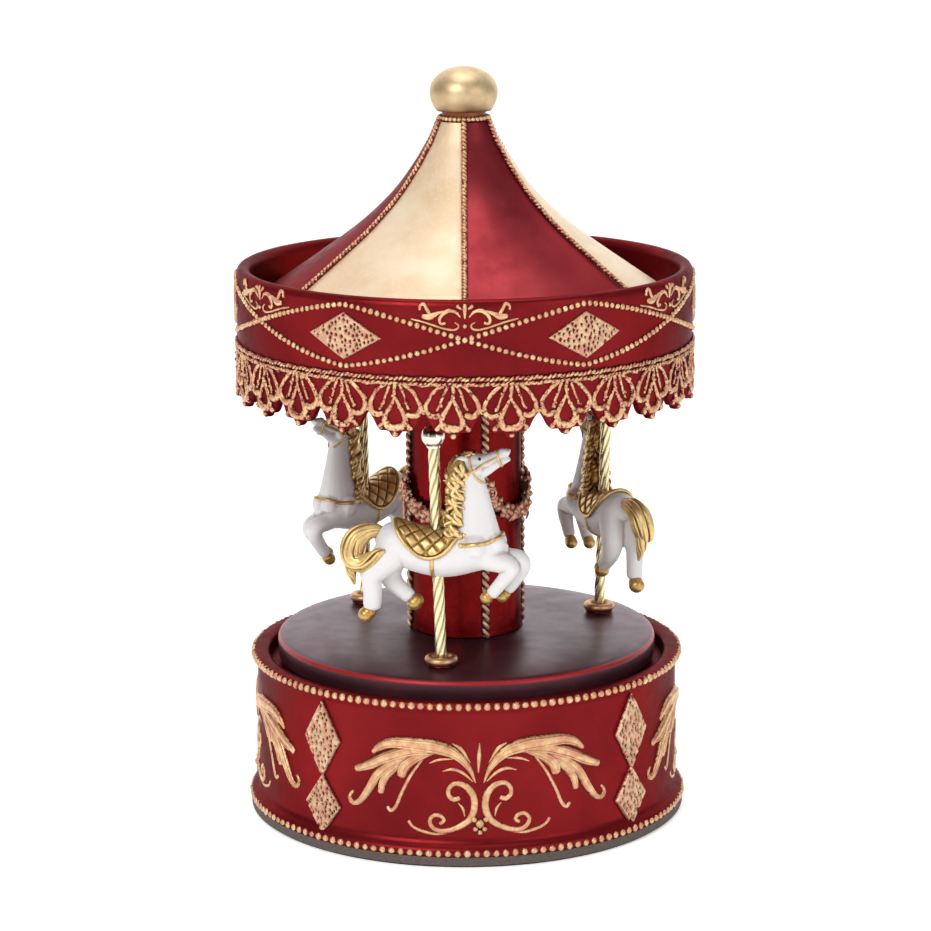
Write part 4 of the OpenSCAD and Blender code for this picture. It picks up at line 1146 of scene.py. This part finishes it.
def horse_saddle(heap):
    """A quilted pad draped over the back: pillows between sewn grooves, and a raised rim."""
    k, rows, around = SADDLE, 56, 200
    rho, psi = np.linspace(0.02, 1, rows)[:, None], (np.arange(around) * 2 * math.pi / around)[None]
    x, arc = k["half"] * rho * np.cos(psi), k["girth"] * rho * np.sin(psi)
    cell = np.minimum(abs(np.sin((x + arc) * 0.98)), abs(np.sin((x - arc) * 0.98)))
    pillow = np.clip(cell / 0.62, 0, 1) ** 0.55
    edge = np.clip((0.95 - rho) / 0.03, 0, 1)
    puff = 0.3 + 0.5 * pillow * edge
    trunk = spline(TRUNK, 200)
    z, ry, rz = (np.interp(x + k["x"], trunk[:, 0], trunk[:, i]) for i in (1, 2, 3))
    turn = arc / (ry + 0.3)
    v = np.stack([x + k["x"], -(ry + puff) * np.sin(turn), z + (rz + puff) * np.cos(turn)], -1)
    # Sewn grooves and the underside get low high values, which the horse gold paints dark as shade.
    heap.add(v, grid_faces(rows, around), high=np.clip(0.08 + 0.85 * pillow * edge, 0, 1).ravel())
    under = np.stack([v[..., 0], v[..., 1] * 0.86, z + (v[..., 2] - z) * 0.86], -1)
    heap.add(under, grid_faces(rows, around)[:, ::-1], high=0.2)
    rim = v[-1]
    tube(heap, rim, 0.46, unit(rim - np.c_[rim[:, 0], np.zeros(around), z[-1]]), 10, high=0.85, closed=True)


def lock(heap, start, end, wave, r, rng, y_out, samples=30):
    """One curling lock of hair from start to end, with ripples and a turned-up tip."""
    t = np.linspace(0, 1, samples)
    p = np.outer(1 - t, start) + np.outer(t, end)
    d = unit(np.array(end) - np.array(start))
    side = unit(np.cross(d, [0, 1, 0]))
    phase, turns = rng.uniform(0, 6.28), rng.uniform(1.3, 2.2)
    p = p + np.outer(np.sin(phase + t * turns * 6.28) * wave * (0.3 + t), side)
    p[:, 1] += y_out * np.sin(t * math.pi * 0.9)
    p[:, 1] += 0.25 * np.cos(phase + t * turns * 6.28) * np.sign(y_out or 1)
    width = r * (0.55 + 0.75 * np.sin(math.pi * np.clip(0.15 + 0.8 * t, 0, 1))) * np.where(t > 0.85,
            (1 - t) / 0.15 * 0.8 + 0.2, 1)
    out = np.array([0, np.sign(y_out) if y_out else 1.0, 0.25])
    tube(heap, p, width, unit(out), 9, height=width * 0.95)


def horse_mane(heap, rng):
    crest = spline([(x, z, 0) for x, z in CREST], 40)[:, :2]
    core = np.c_[crest[:, 0], np.zeros(40), crest[:, 1]]
    tube(heap, core, np.interp(np.linspace(0, 1, 40), [0, 0.15, 0.8, 1], [0.8, 1.5, 1.7, 1.0]), [0, 1, 0],
            12,
         height=np.interp(np.linspace(0, 1, 40), [0, 0.3, 1], [1.0, 1.8, 2.2]), high=0.45)
    for side in (-1, 1):
        for k in range(34):
            f = k / 33
            i = int(f * 36)
            x, z = crest[i]
            back = rng.uniform(-1.6, 1.2)
            reach = rng.uniform(4.2, 7.2)
            girth = 0.9 + 2.3 * f
            start = (x + rng.uniform(-0.9, 1.6), side * 0.5, z + rng.uniform(-0.2, 0.4))
            end = (x + back + 0.5 + 2.4 * max(0, f - 0.8) * 5, side * girth,
                    z - reach * (1 - 0.8 * max(0, f - 0.8) * 3))
            lock(heap, start, end, rng.uniform(0.6, 1.0), rng.uniform(0.34, 0.56), rng,
                    side * rng.uniform(0.6, 1.2))
        for k in range(4):
            lock(heap, (6.9, side * 0.2, 89.4 - k * 0.15),
                    (9.4 - k * 0.9, side * (0.7 + 0.25 * k), 89.3 - 0.35 * k), 0.15, 0.36, rng, side * 0.3,
                    10)
    for k in range(34):
        x, z = crest[int(1 + k * 1.12)]
        lean = rng.uniform(-1.1, 1.1)
        lock(heap, (x - 0.3, lean * 0.5, z + 0.6), (x - rng.uniform(1.0, 2.0), lean,
                z - rng.uniform(2.4, 3.8)),
             0.55, rng.uniform(0.4, 0.6), rng, 0.25 * rng.choice([-1, 1]))


def horse_tail(heap, rng):
    for line, strands in ((spline(TAIL, 60), 36), (spline(TAIL_FORK, 24), 14)):
        p, r = line[:, :3], line[:, 3]
        tube(heap, p, r * 0.84, [0, 1, 0], 16, height=r * 0.74, high=0.35)
        side = unit(np.cross(unit(np.gradient(p, axis=0)), [0, 1.0, 0]))
        for k in range(strands):
            a = 2 * math.pi * k / strands + rng.uniform(-0.15, 0.15)
            sway = a + np.linspace(0, rng.uniform(1.9, 2.7),
                    len(line)) + 0.12 * np.sin(np.linspace(0, rng.uniform(8, 14), len(line)))
            out = side * np.cos(sway)[:, None]
            out[:, 1] += np.sin(sway)
            q = p + out * np.c_[r * 0.8, r * 0.72, r * 0.8] * rng.uniform(0.94, 1.06)
            tube(heap, q, np.clip(r * rng.uniform(0.14, 0.3), 0.12, 0.62), unit(out), 8)


def horse_hooves(heap):
    for side, x, z, r in HOOVES:
        balls(heap, [(x, side, z)], r, [[0, side, 0]], jitter=0.05, high=0.75)
        balls(heap, [(x + 0.5, side, z + 0.5)], r * 0.94, [[0, side, 0]], jitter=0.05, high=0.6)


def build_horses(mats):
    v, faces = horse_skin()
    tree = BVHTree.FromPolygons([tuple(p) for p in v], faces)
    skin = Heap()
    skin.add(v, [f for f in faces if len(f) == 4], [f for f in faces if len(f) == 3],
            high=hollows(v, faces))
    rng = random.Random(21)
    gold, eyes = Heap(), Heap()
    horse_tack(gold, tree)
    horse_saddle(gold)
    horse_mane(gold, rng)
    horse_tail(gold, rng)
    horse_hooves(gold)
    p, n = hug(tree, [(10.4, -2.2, 88.3), (10.4, 2.2, 88.3)], -0.02)
    balls(eyes, p, 0.36, n)
    for i, pole in enumerate(POLES, 1):
        for heap, label, mat, cad, slot in ((skin, "coat", mats["white"], (f"horse_{i}",), "horse_white"),
                                            (gold, "mane_tail_tack", mats["tack"], (), "gold_paint"),
                                            (eyes, "eyes", mats["eye"], (), "fly_plastic")):
            planted(heap, pole, sink=pole[3]).mesh(f"horse_{label}_{i}", mat, "carousel", cad, slot)


# ---------------------------------------------------------------- studio


def white_sheet(name, at, size, turn, glow):
    """Studio paper, lit from behind so that it stays white."""
    bpy.ops.mesh.primitive_plane_add(size=size, location=at, rotation=(turn, 0, 0))
    sheet = bpy.context.object
    sheet.name = name
    m = Mat(name, Roughness=0.9, Emission_Strength=glow)
    m.b.inputs["Emission Color"].default_value = (1, 1, 1, 1)
    sheet.data.materials.append(m.finish(m.mix(m.noise(60, 2), (0.84, 0.84, 0.85), (0.87, 0.87, 0.87))))


def build_studio():
    white_sheet("studio_floor", (0, 0, 0), 9, 0, 0.45)
    white_sheet("studio_back", (0, 3.0, 0.5), 9, math.pi / 2, 0.9)
    bpy.context.scene.view_settings.view_transform = "Standard"
    world = bpy.data.worlds.new("studio")
    bpy.context.scene.world = world
    world.use_nodes = True
    back = world.node_tree.nodes["Background"]
    back.inputs[0].default_value = (0.97, 0.98, 1.0, 1)
    back.inputs[1].default_value = 0.3
    softbox("key", (-0.55, -0.9, 0.75), 0.7, 8)
    softbox("fill", (0.75, -0.75, 0.45), 0.7, 2.6)
    softbox("top", (0.0, 0.1, 1.1), 0.8, 5)


def softbox(name, at, size, power):
    data = bpy.data.lights.new(name, "AREA")
    data.shape, data.size, data.energy = "SQUARE", size, power
    obj = bpy.data.objects.new(name, data)
    bpy.context.scene.collection.objects.link(obj)
    obj.location = at
    direction = np.array([0, 0, 0.08]) - np.array(at)
    obj.rotation_euler = Vector(direction).to_track_quat("-Z", "Y").to_euler()


def build_camera():
    cam = bpy.data.cameras.new("camera")
    cam.sensor_width, cam.lens = 36, FRONT_VIEW["lens"]
    obj = bpy.data.objects.new("camera", cam)
    bpy.context.scene.collection.objects.link(obj)
    obj.location = (0, -FRONT_VIEW["distance"] * MM, FRONT_VIEW["height"] * MM)
    pitch, roll = (math.radians(FRONT_VIEW[k]) for k in ("pitch", "roll"))
    obj.rotation_euler = (Matrix.Rotation(pitch, 3, "X") @ Matrix.Rotation(roll, 3, "Z")).to_euler()
    bpy.context.scene.camera = obj
    return obj


def main():
    build_camera()
    mats = make_materials()
    dress_frame(mats)
    build_base(mats)
    build_deck(mats)
    build_poles(mats)
    build_column(mats)
    build_canopy(mats)
    build_roof(mats)
    build_finial(mats)
    build_horses(mats)
    build_studio()


main()
